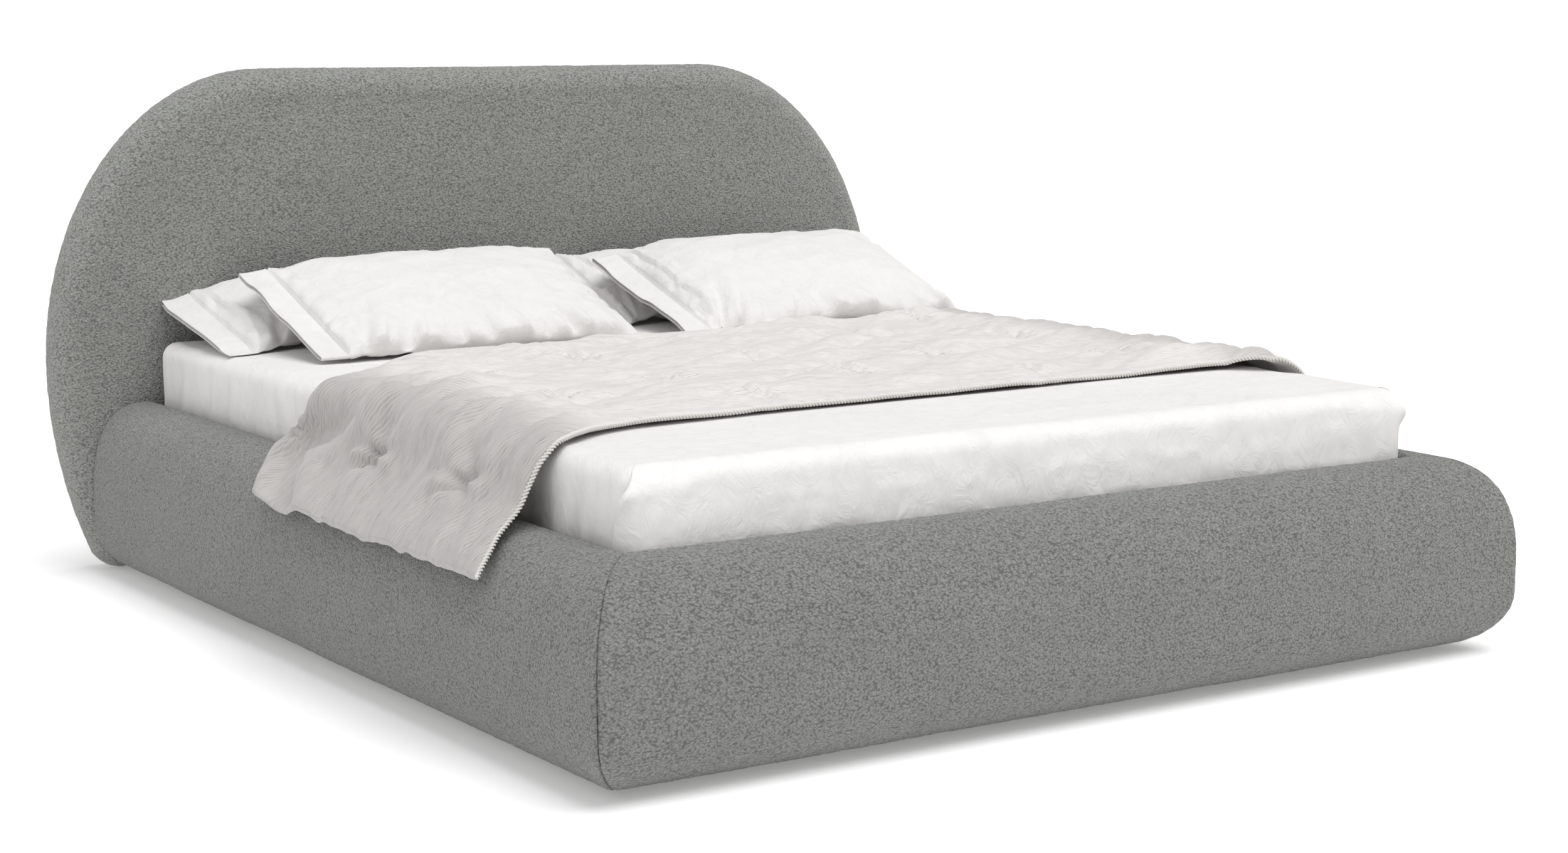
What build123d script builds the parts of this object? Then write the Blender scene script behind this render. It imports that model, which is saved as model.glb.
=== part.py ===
from build123d import *
import os

# Upholstered platform bed: arched headboard, padded rolls along both sides and the foot, slatted bases,
# mattress, sheet, four pillows and a coverlet.
# Millimetres. +X across, +Y towards the head, +Z up. The origin is on the floor, under the middle of the bed.

# Driving dimensions
MATTRESS_W = 1600  # nominal mattress size
MATTRESS_L = 2000
OVERALL_L = 2290
HEIGHT = 1030  # top of the headboard
FLOOR_GAP = 6  # height of the glides
ROLL_TOP = 355  # crest of the padded rolls
SIDE_REACH = 140  # how far the side rolls stand out from the mattress
FOOT_REACH = 155
MATTRESS_TOP = 478
MATTRESS_BOTTOM = 254

COVER = 3  # boucle with its backing
FOAM = 35  # foam over the hardboard skin of a roll
SKIN = 3  # bent hardboard
BOARD_T = 22  # structural boards of the rolls
BOARD_Z = (28, 332)  # lower and upper edges of those boards
INNER_GAP = 5  # from the nominal mattress edge to a roll's inner face

HEAD_T = 125  # headboard, over its covers
HALF_W = MATTRESS_W / 2
HEAD_BACK = OVERALL_L / 2
HEAD_FRONT = HEAD_BACK - HEAD_T
FOOT_EDGE = -OVERALL_L / 2 + FOOT_REACH  # foot edge of the nominal mattress
HEAD_EDGE = FOOT_EDGE + MATTRESS_L
RAIL_FACE = HALF_W + INNER_GAP  # inner face of a side roll
FOOT_FACE = FOOT_EDGE - INNER_GAP
BOARD_X = RAIL_FACE + COVER  # inner face of a side roll's board
BOARD_Y = FOOT_FACE - COVER

SUPPORT_Z = 190  # top of the ledgers and of the centre beam
BOLT_R = 4.0
HOLE_R = 4.3

nodes = {}


def block(x0, x1, y0, y1, z0, z1):
    """A square-edged block between two corners."""
    middle = Pos((x0 + x1) / 2, (y0 + y1) / 2, (z0 + z1) / 2)
    return middle * Box(abs(x1 - x0), abs(y1 - y0), abs(z1 - z0))


def rod(start, direction, length, radius):
    """A round bar from a start point along a direction."""
    return extrude(Plane(origin=start, z_dir=direction) * Circle(radius), amount=length)


def total(pieces):
    """Several pieces as one shape; pieces that only touch or stay apart remain separate solids."""
    return Compound(children=[solid for piece in pieces for solid in piece.solids()])


def mirrored(piece):
    """The same piece on the other side of the bed."""
    return mirror(piece, about=Plane.YZ)


# Padded rolls. A section lies in a plane whose x runs outwards from the mattress edge and whose y is height.

CREST = 20  # where the top of a roll is highest, outwards from the mattress edge
BELLY = (115, 170)  # the roll's side is upright between these heights
FLAT = 30  # outer end of the flat underside
INNER_R = 15  # rounding of the two inner edges


def roll_outline(reach, inset):
    """Full outline of a roll: upright inner face, elliptical top and belly, flat underside."""
    top = ROLL_TOP - inset
    bottom = FLOOR_GAP + inset
    inner = INNER_GAP + inset
    outer = reach - inset
    radius = INNER_R - inset
    return make_face(
        [
            EllipticalCenterArc((CREST, BELLY[1]), outer - CREST, top - BELLY[1], 0, arc_size=90),
            CenterArc((CREST, ROLL_TOP - INNER_R), radius, 90, 90),
            Line((inner, ROLL_TOP - INNER_R), (inner, FLOOR_GAP + INNER_R)),
            CenterArc((CREST, FLOOR_GAP + INNER_R), radius, 180, 90),
            Line((CREST, bottom), (FLAT, bottom)),
            EllipticalCenterArc((FLAT, BELLY[0]), outer - FLAT, BELLY[0] - bottom, 270, arc_size=90),
            Line((outer, BELLY[0]), (outer, BELLY[1])),
        ]
    )


def roll_lobe(reach, inset):
    """The part of the outline outside the structural board, for the hardboard and the formers."""
    top = ROLL_TOP - inset
    bottom = FLOOR_GAP + inset
    outer = reach - inset
    whole = make_face(
        [
            EllipticalCenterArc((CREST, BELLY[1]), outer - CREST, top - BELLY[1], 0, arc_size=90),
            Line((CREST, top), (CREST, bottom)),
            Line((CREST, bottom), (FLAT, bottom)),
            EllipticalCenterArc((FLAT, BELLY[0]), outer - FLAT, BELLY[0] - bottom, 270, arc_size=90),
            Line((outer, BELLY[0]), (outer, BELLY[1])),
        ]
    )
    board_back = INNER_GAP + COVER + BOARD_T
    return whole & Pos(board_back + reach / 2, HEIGHT / 2) * Rectangle(reach, HEIGHT)


def board_slot():
    """The board's own section."""
    low, high = BOARD_Z
    start = INNER_GAP + COVER
    return Pos(start + BOARD_T / 2, (low + high) / 2) * Rectangle(BOARD_T, high - low)


MITRE_IN = (BOARD_X, BOARD_Y)  # the two ends of a foot corner's mitre, seen from above
MITRE_OUT = (HALF_W + SIDE_REACH, FOOT_EDGE - FOOT_REACH)
CORNER_R = 14  # rounding of the foot corners, seen from above


def mitre_point(share):
    """A point along the mitre line: 0 at the board, 1 at the outer corner."""
    x = MITRE_IN[0] + share * (MITRE_OUT[0] - MITRE_IN[0])
    y = MITRE_IN[1] + share * (MITRE_OUT[1] - MITRE_IN[1])
    return x, y


def plan_prism(points):
    """A tall prism over a plan outline."""
    outline = make_face(Polyline(*points, close=True))
    return extrude(outline, amount=HEIGHT)


def rail_zone():
    """Everything on the rail's side of the right-hand mitre."""
    inner, outer = mitre_point(-0.2), mitre_point(1.3)
    far = HALF_W + 2 * SIDE_REACH
    return plan_prism([inner, outer, (far, outer[1]), (far, HEAD_FRONT), (inner[0], HEAD_FRONT)])


def foot_zone():
    """Everything between the two mitres."""
    inner, outer = mitre_point(-0.2), mitre_point(1.3)
    return plan_prism([inner, outer, (-outer[0], outer[1]), (-inner[0], inner[1])])


def rounded_zone(inset):
    """Plan of the whole base with its foot corners rounded."""
    half = HALF_W + SIDE_REACH - inset
    low = FOOT_EDGE - FOOT_REACH + inset
    centre = (low + HEAD_BACK) / 2
    plan = Pos(0, centre) * RectangleRounded(2 * half, HEAD_BACK - low, CORNER_R - inset)
    return extrude(plan, amount=HEIGHT)


def along_rail(section):
    """A section run along the right-hand side, from the headboard past the foot corner."""
    start = Plane(origin=(HALF_W, HEAD_FRONT, 0), x_dir=(1, 0, 0), z_dir=(0, -1, 0))
    return extrude(start * section, amount=OVERALL_L)


def along_foot(section):
    """A section run across the foot, past both corners."""
    start = Plane(origin=(OVERALL_L / 2, FOOT_EDGE, 0), x_dir=(0, -1, 0), z_dir=(-1, 0, 0))
    return extrude(start * section, amount=OVERALL_L)


def roll_pieces(along, zone, reach):
    """Cover, foam and hardboard of one roll, before any holes."""
    outer = roll_outline(reach, 0)
    under_cover = roll_outline(reach, COVER)
    hollow = roll_lobe(reach, COVER + FOAM)
    under_skin = roll_lobe(reach, COVER + FOAM + SKIN)
    cover = (along(outer) & zone & rounded_zone(0)) - (along(under_cover) & rounded_zone(COVER))
    foam = (along(under_cover) & zone & rounded_zone(COVER)) - along(board_slot()) - along(hollow)
    skin = (along(hollow) - along(under_skin)) & zone
    return cover, foam, skin


FORMER_T = 15
FORMER_HOLES = (125, 235)  # heights of a former's lightening holes
FORMER_HOLE_R = 20


def former(reach):
    """Section of one plywood former."""
    face = roll_lobe(reach, COVER + FOAM + SKIN)
    middle = (INNER_GAP + COVER + BOARD_T + reach - FOAM) / 2 - SKIN
    for height in FORMER_HOLES:
        face = face - Pos(middle, height) * Circle(FORMER_HOLE_R)
    return face


RAIL_FORMERS = (-860, -400, 40, 480, 900)  # y of the formers in a side rail
FOOT_FORMERS = (-660, -220, 220, 660)  # x of the formers in the footboard


def rail_formers():
    """The right-hand rail's formers."""
    made = []
    for y in RAIL_FORMERS:
        plane = Plane(origin=(HALF_W, y, 0), x_dir=(1, 0, 0), z_dir=(0, -1, 0))
        made.append(extrude(plane * former(SIDE_REACH), amount=FORMER_T))
    return total(made)


def foot_formers():
    """The footboard's formers."""
    made = []
    for x in FOOT_FORMERS:
        plane = Plane(origin=(x, FOOT_EDGE, 0), x_dir=(0, -1, 0), z_dir=(-1, 0, 0))
        made.append(extrude(plane * former(FOOT_REACH), amount=FORMER_T))
    return total(made)


# Headboard. Its outline is a flat top, two elliptical shoulders, and sides that draw in towards the floor.

SHOULDER = (530, 420)  # centre of a shoulder, from the middle and from the floor
SHOULDER_W = 470
SIDE_R = 1000  # radius of the sides below the shoulders
FOOT_R = 60  # rounding of the two bottom corners
EDGE_R = 55  # rounding of the headboard's edges, front and back
CORE_IN = 45  # from the cover to the edge of the panel
CORE_BOTTOM = 25


def arch(inset, bottom, corner_r):
    """Outline of the headboard, drawn in by inset."""
    cx, cz = SHOULDER
    radius = SIDE_R - inset
    centre = cx + SHOULDER_W - SIDE_R
    top = HEIGHT - inset
    right = [
        EllipticalCenterArc((cx, cz), SHOULDER_W - inset, top - cz, 0, arc_size=90),
        CenterArc((centre, cz), radius, -30, 30),
    ]
    left = [mirror(edge, about=Plane.YZ) for edge in right]
    low = right[1] @ 0
    outline = make_face(
        [
            Line((-cx, top), (cx, top)),
            *right,
            Line(low, (-low.X, low.Y)),
            *left,
        ]
    )
    outline = outline & Pos(0, bottom + HEIGHT / 2) * Rectangle(2 * HEIGHT, HEIGHT)
    if corner_r > 0:
        corners = outline.vertices().group_by(Axis.Y)[0]
        outline = fillet(corners, corner_r)
    return outline


def head_slab(outline, y_front, y_back):
    """A headboard outline as a slab between two y values."""
    plane = Plane(origin=(0, y_back, 0), x_dir=(1, 0, 0), z_dir=(0, -1, 0))
    return extrude(plane * outline, amount=y_back - y_front)


def padded_slab(inset):
    """The headboard's rounded body, drawn in by inset all round."""
    slab = head_slab(
        arch(inset, FLOOR_GAP + inset, FOOT_R - inset), HEAD_FRONT + inset, HEAD_BACK - inset
    )
    rims = slab.edges().filter_by(
        lambda edge: abs(edge.bounding_box().min.Y - edge.bounding_box().max.Y) < 0.01
    )
    return fillet(rims, EDGE_R - inset)


PANEL_Y = (HEAD_FRONT + 40, HEAD_FRONT + 58)
BATTEN_Y = (PANEL_Y[1], PANEL_Y[1] + 41)
BACK_BOARD_Y = (BATTEN_Y[1], BATTEN_Y[1] + 3)
BACK_SEAM_IN = 62  # the back cover's seam, in from the outline

BRACKET = 60  # leg of a corner bracket
BRACKET_T = 4
BRACKET_Z = (66, 156)
BOLT_Z = (88, 134)
BOLT_IN = 40  # bolt to the corner
BLOCK_X = (735, 815)  # mounting blocks at the bed's head corners
CORNER_BLOCK_Z = (BRACKET_Z[0] + 2, BRACKET_Z[1] + 10)
MIDDLE_BLOCK_Z = (130, 215)
BEAM_HALF = 30
BEAM_Z = (150, SUPPORT_Z)
HANGER_HALF = 50


def mount_blocks():
    """Timber blocks between the headboard's cover and panel, where the base bolts on."""
    y0, y1 = HEAD_FRONT + COVER, PANEL_Y[0]
    right = block(*BLOCK_X, y0, y1, *CORNER_BLOCK_Z)
    half = HANGER_HALF + 10
    middle = block(-half, half, y0, y1, *MIDDLE_BLOCK_Z)
    return total([right, mirrored(right), middle])


BATTEN_W = 70
LOW_BATTEN = (700, 60)  # half its length, and the height of its lower edge
CROSS_BATTEN_Z = 560
SIDE_BATTEN_X = 560
MIDDLE_BATTEN_TOP = 960
SIDE_BATTEN_TOP = 930


def battens():
    """Uprights and cross rails behind the headboard's panel."""
    y0, y1 = BATTEN_Y
    half, low = LOW_BATTEN
    foot = low + BATTEN_W
    near, far = SIDE_BATTEN_X, SIDE_BATTEN_X + BATTEN_W
    middle = BATTEN_W / 2
    pieces = [block(-half, half, y0, y1, low, foot)]
    pieces.append(block(-middle, middle, y0, y1, foot, MIDDLE_BATTEN_TOP))
    for sign in (-1, 1):
        pieces.append(block(sign * near, sign * far, y0, y1, foot, SIDE_BATTEN_TOP))
        cross = (y0, y1, CROSS_BATTEN_Z, CROSS_BATTEN_Z + BATTEN_W)
        pieces.append(block(sign * middle, sign * near, *cross))
    return total(pieces)


# Fasteners and glides


def bolt(head_face, direction, grip):
    """Button-head bolt: its head stands against direction, its shank runs along it."""
    plane = Plane(origin=head_face, z_dir=direction)
    head = extrude(plane * Circle(7), amount=-4.5)
    socket = extrude(plane.offset(-4.5) * RegularPolygon(2.9, 6), amount=2.5)
    shank = extrude(plane * Circle(BOLT_R), amount=grip)
    return head + shank - socket


def nut(face, direction):
    """Hexagon nut on the far side of a bolted joint."""
    plane = Plane(origin=face, z_dir=direction)
    return extrude(plane * (RegularPolygon(7.5, 6) - Circle(BOLT_R)), amount=6.5)


def screw(head_face, direction, length, radius):
    """Countersunk wood screw with a conical point."""
    plane = Plane(origin=head_face, z_dir=direction)
    head = loft([plane * Circle(2 * radius), plane.offset(radius) * Circle(radius)])
    shank = extrude(plane.offset(radius) * Circle(radius), amount=length - 4 * radius)
    tip_start = plane.offset(length - 3 * radius)
    tip = loft([tip_start * Circle(radius), tip_start.offset(3 * radius) * Circle(0.2 * radius)])
    return head + shank + tip


def corner_bolts():
    """For the right-hand corners: (bolt, nut, clearance hole) for every bolt."""
    made = []
    rail_grip = BRACKET_T + COVER + BOARD_T
    head_grip = BRACKET_T + PANEL_Y[1] - HEAD_FRONT
    for z in BOLT_Z:
        sites = [
            ((RAIL_FACE - BRACKET_T, HEAD_FRONT - BOLT_IN, z), (1, 0, 0), rail_grip),
            ((RAIL_FACE - BRACKET_T, FOOT_FACE + BOLT_IN, z), (1, 0, 0), rail_grip),
            ((RAIL_FACE - BOLT_IN, HEAD_FRONT - BRACKET_T, z), (0, 1, 0), head_grip),
            ((RAIL_FACE - BOLT_IN, FOOT_FACE + BRACKET_T, z), (0, -1, 0), rail_grip),
        ]
        for start, direction, grip in sites:
            far = Vector(*start) + Vector(*direction) * grip
            hole = rod(start, direction, grip, HOLE_R)
            made.append((bolt(start, direction, grip + 6), nut(far, direction), hole))
    return made


def corner_bracket(wall_y, inward):
    """Steel angle in a right-hand corner: one leg on the rail, one on the end wall."""
    low, high = BRACKET_Z
    x = RAIL_FACE
    rail_leg = block(x - BRACKET_T, x, wall_y, wall_y + inward * BRACKET, low, high)
    end_leg = block(x - BRACKET, x, wall_y, wall_y + inward * BRACKET_T, low, high)
    return rail_leg + end_leg


GLIDE_R = 14
STEM_R = 4


def glide(x, y, top):
    """Plastic pad with a stem that is driven into the board above it."""
    pad = Pos(x, y, FLOOR_GAP / 2) * Cylinder(GLIDE_R, FLOOR_GAP)
    pad = fillet(pad.edges().group_by(Axis.Z)[0], 2)
    return pad + rod((x, y, FLOOR_GAP), (0, 0, 1), top - FLOOR_GAP, STEM_R)


BOARD_MIDDLE = COVER + BOARD_T / 2  # from a roll's inner face to the middle of its board
RAIL_GLIDES = (-900, -300, 300, 900)
FOOT_GLIDES = (-500, 0, 500)
HEAD_GLIDES = (-750, -300, 300, 750)


def base_glides():
    """Glides under the two rails and the footboard."""
    made = []
    for y in RAIL_GLIDES:
        for sign in (-1, 1):
            made.append(glide(sign * (RAIL_FACE + BOARD_MIDDLE), y, BOARD_Z[0] + 32))
    for x in FOOT_GLIDES:
        made.append(glide(x, FOOT_FACE - BOARD_MIDDLE, BOARD_Z[0] + 32))
    return total(made)


def head_glides():
    """Glides under the headboard's panel."""
    y = sum(PANEL_Y) / 2
    return total([glide(x, y, CORE_BOTTOM + 40) for x in HEAD_GLIDES])


# Bed base

LEDGER = 38  # width of a ledger's shelf
LEDGER_H = 30
LEDGER_T = 3
LEDGER_SCREWS = 8
LEDGER_SCREW_IN = 80  # from a ledger's end to its first screw
SHORT_SCREW = 24
LONG_SCREW = 34
SLAT_COUNT = 14
SLAT_W = 53
SLAT_T = 8
SLAT_RISE = 8
FRAME_TOP = 232
FRAME_X = (5, 798)  # one slatted base, from the middle of the bed outwards
FRAME_Y = (FOOT_FACE + 10, HEAD_FRONT - 15)
BAR = 30
SLAT_INSET = 7  # slat end, in from the outer face of the bar
HOLDER = (38, 64, 17)
LEG_Y = (-390, 410)
LEG_R = 19


def ledger():
    """Right-hand steel angle that carries the outer edge of a slatted base."""
    y0, y1 = FOOT_FACE + 10, HEAD_FRONT - 10
    upright = block(RAIL_FACE - LEDGER_T, RAIL_FACE, y0, y1, SUPPORT_Z - LEDGER_H, SUPPORT_Z)
    shelf = block(RAIL_FACE - LEDGER, RAIL_FACE, y0, y1, SUPPORT_Z - LEDGER_T, SUPPORT_Z)
    return upright + shelf


def ledger_screws():
    """Screws of the right-hand ledger, evenly spaced along it."""
    made = []
    first, last = FOOT_FACE + LEDGER_SCREW_IN, HEAD_FRONT - LEDGER_SCREW_IN
    step = (last - first) / (LEDGER_SCREWS - 1)
    for i in range(LEDGER_SCREWS):
        start = (RAIL_FACE - LEDGER_T, first + i * step, SUPPORT_Z - LEDGER_H / 2)
        made.append(screw(start, (1, 0, 0), SHORT_SCREW, 2.2))
    return made


def centre_beam():
    """Rectangular steel tube under the inner bars of both slatted bases."""
    y0, y1 = FOOT_FACE + 5, HEAD_FRONT - 5
    wall = 2
    outer = block(-BEAM_HALF, BEAM_HALF, y0, y1, *BEAM_Z)
    inner = block(-BEAM_HALF + wall, BEAM_HALF - wall, y0, y1, BEAM_Z[0] + wall, BEAM_Z[1] - wall)
    return outer - inner


HANGER_T = 3
HANGER_Z = (142, 206)
HANGER_REACH = 50  # how far a cradle stands out from its wall
HANGER_SCREW = (42, 174)  # from the middle of the bed, and height


def hanger(wall_y, inward):
    """Pressed cradle that carries one end of the centre beam."""
    t = HANGER_T
    low = BEAM_Z[0] - t
    plate = block(-HANGER_HALF, HANGER_HALF, wall_y, wall_y + inward * t, *HANGER_Z)
    far = wall_y + inward * HANGER_REACH
    floor = block(-BEAM_HALF - t, BEAM_HALF + t, wall_y, far, low, BEAM_Z[0])
    cradle = plate + floor
    for sign in (-1, 1):
        x = sign * BEAM_HALF
        cradle = cradle + block(x, x + sign * t, wall_y, far, low, BEAM_Z[1] - 2)
    return cradle


def hanger_screws():
    """Two screws through each hanger, into the head block and the footboard's board."""
    made = []
    away, z = HANGER_SCREW
    for x in (-away, away):
        made.append(screw((x, HEAD_FRONT - HANGER_T, z), (0, 1, 0), LONG_SCREW, 2.5))
        made.append(screw((x, FOOT_FACE + HANGER_T, z), (0, -1, 0), SHORT_SCREW, 2.5))
    return made


LEG_WALL = 2
LEG_FOOT_H = 12
LEG_PLUG = 20
LEG_PLATE = (29, 35, 4)  # half its width, half its length, and its thickness


def centre_legs():
    """Two round tubes with top plates, under the centre beam."""
    made = []
    half_x, half_y, thick = LEG_PLATE
    plate_z = BEAM_Z[0] - thick
    length = plate_z - LEG_FOOT_H
    for y in LEG_Y:
        foot = (0, y, LEG_FOOT_H)
        tube = rod(foot, (0, 0, 1), length, LEG_R) - rod(foot, (0, 0, 1), length, LEG_R - LEG_WALL)
        plate = block(-half_x, half_x, y - half_y, y + half_y, plate_z, BEAM_Z[0])
        made.append(tube + plate)
    return total(made)


def leg_feet():
    """Plastic caps in the lower ends of the centre legs."""
    made = []
    for y in LEG_Y:
        pad = Cylinder(LEG_R + 2, LEG_FOOT_H)
        pad = fillet(pad.edges().group_by(Axis.Z)[0], 3)
        plug = rod((0, y, LEG_FOOT_H), (0, 0, 1), LEG_PLUG, LEG_R - LEG_WALL)
        made.append(Pos(0, y, LEG_FOOT_H / 2) * pad + plug)
    return total(made)


def slat_positions():
    """Middle of each slat, evenly spaced along the base."""
    first, last = FRAME_Y[0] + 60, FRAME_Y[1] - 60
    step = (last - first) / (SLAT_COUNT - 1)
    return [first + i * step for i in range(SLAT_COUNT)]


def slat_frame():
    """Right-hand base frame: two long bars and two end bars."""
    x0, x1 = FRAME_X
    y0, y1 = FRAME_Y
    low = SUPPORT_Z
    return total(
        [
            block(x0, x0 + BAR, y0, y1, low, FRAME_TOP),
            block(x1 - BAR, x1, y0, y1, low, FRAME_TOP),
            block(x0 + BAR, x1 - BAR, y0, y0 + BAR, low, FRAME_TOP),
            block(x0 + BAR, x1 - BAR, y1 - BAR, y1, low, FRAME_TOP),
        ]
    )


def slat(y):
    """One bowed slat of the right-hand base, highest in its middle."""
    x0, x1 = FRAME_X[0] + SLAT_INSET, FRAME_X[1] - SLAT_INSET
    middle = (x0 + x1) / 2
    low = FRAME_TOP + 3.5
    high = low + SLAT_T
    section = make_face(
        [
            ThreePointArc((x0, high), (middle, high + SLAT_RISE), (x1, high)),
            Line((x1, high), (x1, low)),
            ThreePointArc((x1, low), (middle, low + SLAT_RISE), (x0, low)),
            Line((x0, low), (x0, high)),
        ]
    )
    plane = Plane(origin=(0, y + SLAT_W / 2, 0), x_dir=(1, 0, 0), z_dir=(0, -1, 0))
    return extrude(plane * section, amount=SLAT_W)


def slat_holders(y):
    """The two rubber caps that hold one slat's ends on the right-hand base."""
    length, width, height = HOLDER
    made = []
    for end, sign in ((FRAME_X[0] + SLAT_INSET - 5, 1), (FRAME_X[1] - SLAT_INSET + 5, -1)):
        cap = block(end, end + sign * length, y - width / 2, y + width / 2, FRAME_TOP, FRAME_TOP + height)
        cap = fillet(cap.edges().filter_by(Axis.Z), 6)
        made.append(cap - slat(y))
    return made


# Mattress, sheet, pillows and coverlet

TICKING = 3
SHEET = 2
MATTRESS_EDGE = 3  # from the nominal edge to the sheet
TOP_R = 32  # the mattress's top edge
SIDE_CORNER_R = 33  # its corners, seen from above
BOTTOM_R = 18  # its bottom edge


def mattress_body(inset):
    """The mattress with its sheet, drawn in by inset."""
    half = HALF_W - MATTRESS_EDGE - inset
    y0 = FOOT_EDGE + MATTRESS_EDGE + inset
    y1 = HEAD_EDGE - MATTRESS_EDGE - inset
    body = block(-half, half, y0, y1, MATTRESS_BOTTOM + inset, MATTRESS_TOP - inset)
    body = fillet(body.edges().filter_by(Axis.Z), SIDE_CORNER_R - inset)
    body = fillet(body.edges().group_by(Axis.Z)[-1], TOP_R - inset)
    return fillet(body.edges().group_by(Axis.Z)[0], BOTTOM_R - inset)


def bed_sheet():
    """The sheet: over the top, down the sides, and turned under by a hand's width."""
    turned_under = 150
    opening = block(
        -HALF_W + turned_under,
        HALF_W - turned_under,
        FOOT_EDGE + turned_under,
        HEAD_EDGE - turned_under,
        MATTRESS_BOTTOM - 1,
        MATTRESS_BOTTOM + SHEET,
    )
    return mattress_body(0) - mattress_body(SHEET) - opening


PILLOW_EDGE = 14  # thickness at the seams
CASE = 2
HEM = 60


def lens(length, thick, edge):
    """Section of a cushion: two shallow arcs with a short straight edge at each end."""
    half = length / 2
    return make_face(
        [
            ThreePointArc((-half, -edge / 2), (0, -thick / 2), (half, -edge / 2)),
            Line((half, -edge / 2), (half, edge / 2)),
            ThreePointArc((half, edge / 2), (0, thick / 2), (-half, edge / 2)),
            Line((-half, edge / 2), (-half, -edge / 2)),
        ]
    )


CROWN_SPREAD = 8  # the lengthwise section is this much thicker, so the crown has a flat ridge


def crowned(width, depth, thick, edge):
    """A cushion shape about the origin: thick in the middle, thin at all four edges."""
    across = Plane(origin=(0, depth, 0), x_dir=(1, 0, 0), z_dir=(0, -1, 0))
    along = Plane(origin=(-width, 0, 0), x_dir=(0, 1, 0), z_dir=(1, 0, 0))
    wide = extrude(across * lens(width, thick, edge), amount=2 * depth)
    deep = extrude(along * lens(depth, thick + CROWN_SPREAD, edge), amount=2 * width)
    return wide & deep


def pillow_pair(place, width, depth, thick):
    """Filling and case of one pillow; the case has an open hem at its left end."""
    outer = crowned(width, depth, thick, PILLOW_EDGE)
    filling = crowned(width - 2 * CASE, depth - 2 * CASE, thick - 2 * CASE, PILLOW_EDGE - 2 * CASE)
    end = -width / 2
    hem = block(end - HEM, end + 1, -depth / 2, depth / 2, -PILLOW_EDGE / 2, PILLOW_EDGE / 2)
    mouth = block(
        end - HEM - 1,
        end - CASE,
        -depth / 2 + CASE,
        depth / 2 - CASE,
        -PILLOW_EDGE / 2 + CASE,
        PILLOW_EDGE / 2 - CASE,
    )
    case = outer + hem - mouth - filling
    return place * filling, place * case


# Each pillow: middle of the filling (x, y, z), tilt about X, then width without the hem, depth and thickness.
# The back pair is pressed against the headboard by the front pair, so it is shorter from front to back.
PILLOWS = {
    "back_left": ((-335, 842, 549), 22, (770, 300, 86)),
    "back_right": ((502, 842, 549), 22, (752, 300, 86)),
    "front_left": ((-305, 645, 567), 20.5, (650, 440, 110)),
    "front_right": ((510, 646, 568), 20.5, (650, 440, 110)),
}

QUILT = 16
QUILT_GAP = 2  # from the sheet and the rolls to the coverlet
QUILT_HANG_Z = 258  # lowest edge of the coverlet's sides
QUILT_Y = (-820, 425)
# Corners of the coverlet, seen from above. Its left side hangs nearer the foot than its right side.
QUILT_PLAN = [
    (1000, 425),
    (-450, 425),
    (-640, 300),
    (-760, 170),
    (-1000, 150),
    (-1000, -820),
    (-800, -750),
    (-630, -640),
    (700, -605),
    (1000, -670),
]
EDGING_R = 5


def coverlet_section():
    """Coverlet seen from the foot: over the mattress, down each side and over the rolls' crests."""
    low = MATTRESS_TOP + 1
    half = HALF_W + QUILT
    rest = ROLL_TOP + QUILT_GAP
    section = Pos(0, low + QUILT / 2) * Rectangle(2 * half, QUILT)
    centre = HALF_W + CREST
    rise = ROLL_TOP - BELLY[1] + QUILT_GAP
    width = SIDE_REACH - CREST + QUILT_GAP
    ring = Ellipse(width + QUILT, rise + QUILT) - Ellipse(width, rise)
    ring = Pos(centre, BELLY[1]) * ring
    keep = Pos(centre + HALF_W / 2, QUILT_HANG_Z + HALF_W / 2) * Rectangle(HALF_W, HALF_W)
    strip = Pos(HALF_W + QUILT / 2, (rest + low) / 2 + 1) * Rectangle(QUILT, low - rest + 2)
    step = Pos(HALF_W + CREST / 2, rest + QUILT / 2) * Rectangle(CREST, QUILT)
    side = strip + step + (ring & keep)
    return section + side + mirror(side, about=Plane.YZ)


def coverlet():
    """The coverlet, which lies a little askew."""
    plane = Plane(origin=(0, QUILT_Y[1], 0), x_dir=(1, 0, 0), z_dir=(0, -1, 0))
    run = extrude(plane * coverlet_section(), amount=QUILT_Y[1] - QUILT_Y[0])
    return run & plan_prism(QUILT_PLAN)


def coverlet_edging():
    """Whipped cord along the coverlet's foot edge, on the mattress."""
    height = MATTRESS_TOP + 1 + QUILT / 2
    start, end = (Vector(*corner, height) for corner in QUILT_PLAN[7:9])
    way = end - start
    side = Vector(way.Y, -way.X, 0).normalized() * (EDGING_R + 0.1)
    return rod(tuple(start + side), tuple(way.normalized()), way.length, EDGING_R)


def cut(name, tools):
    """Takes tool shapes out of a node."""
    for tool in tools:
        nodes[name] = nodes[name] - tool


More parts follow.
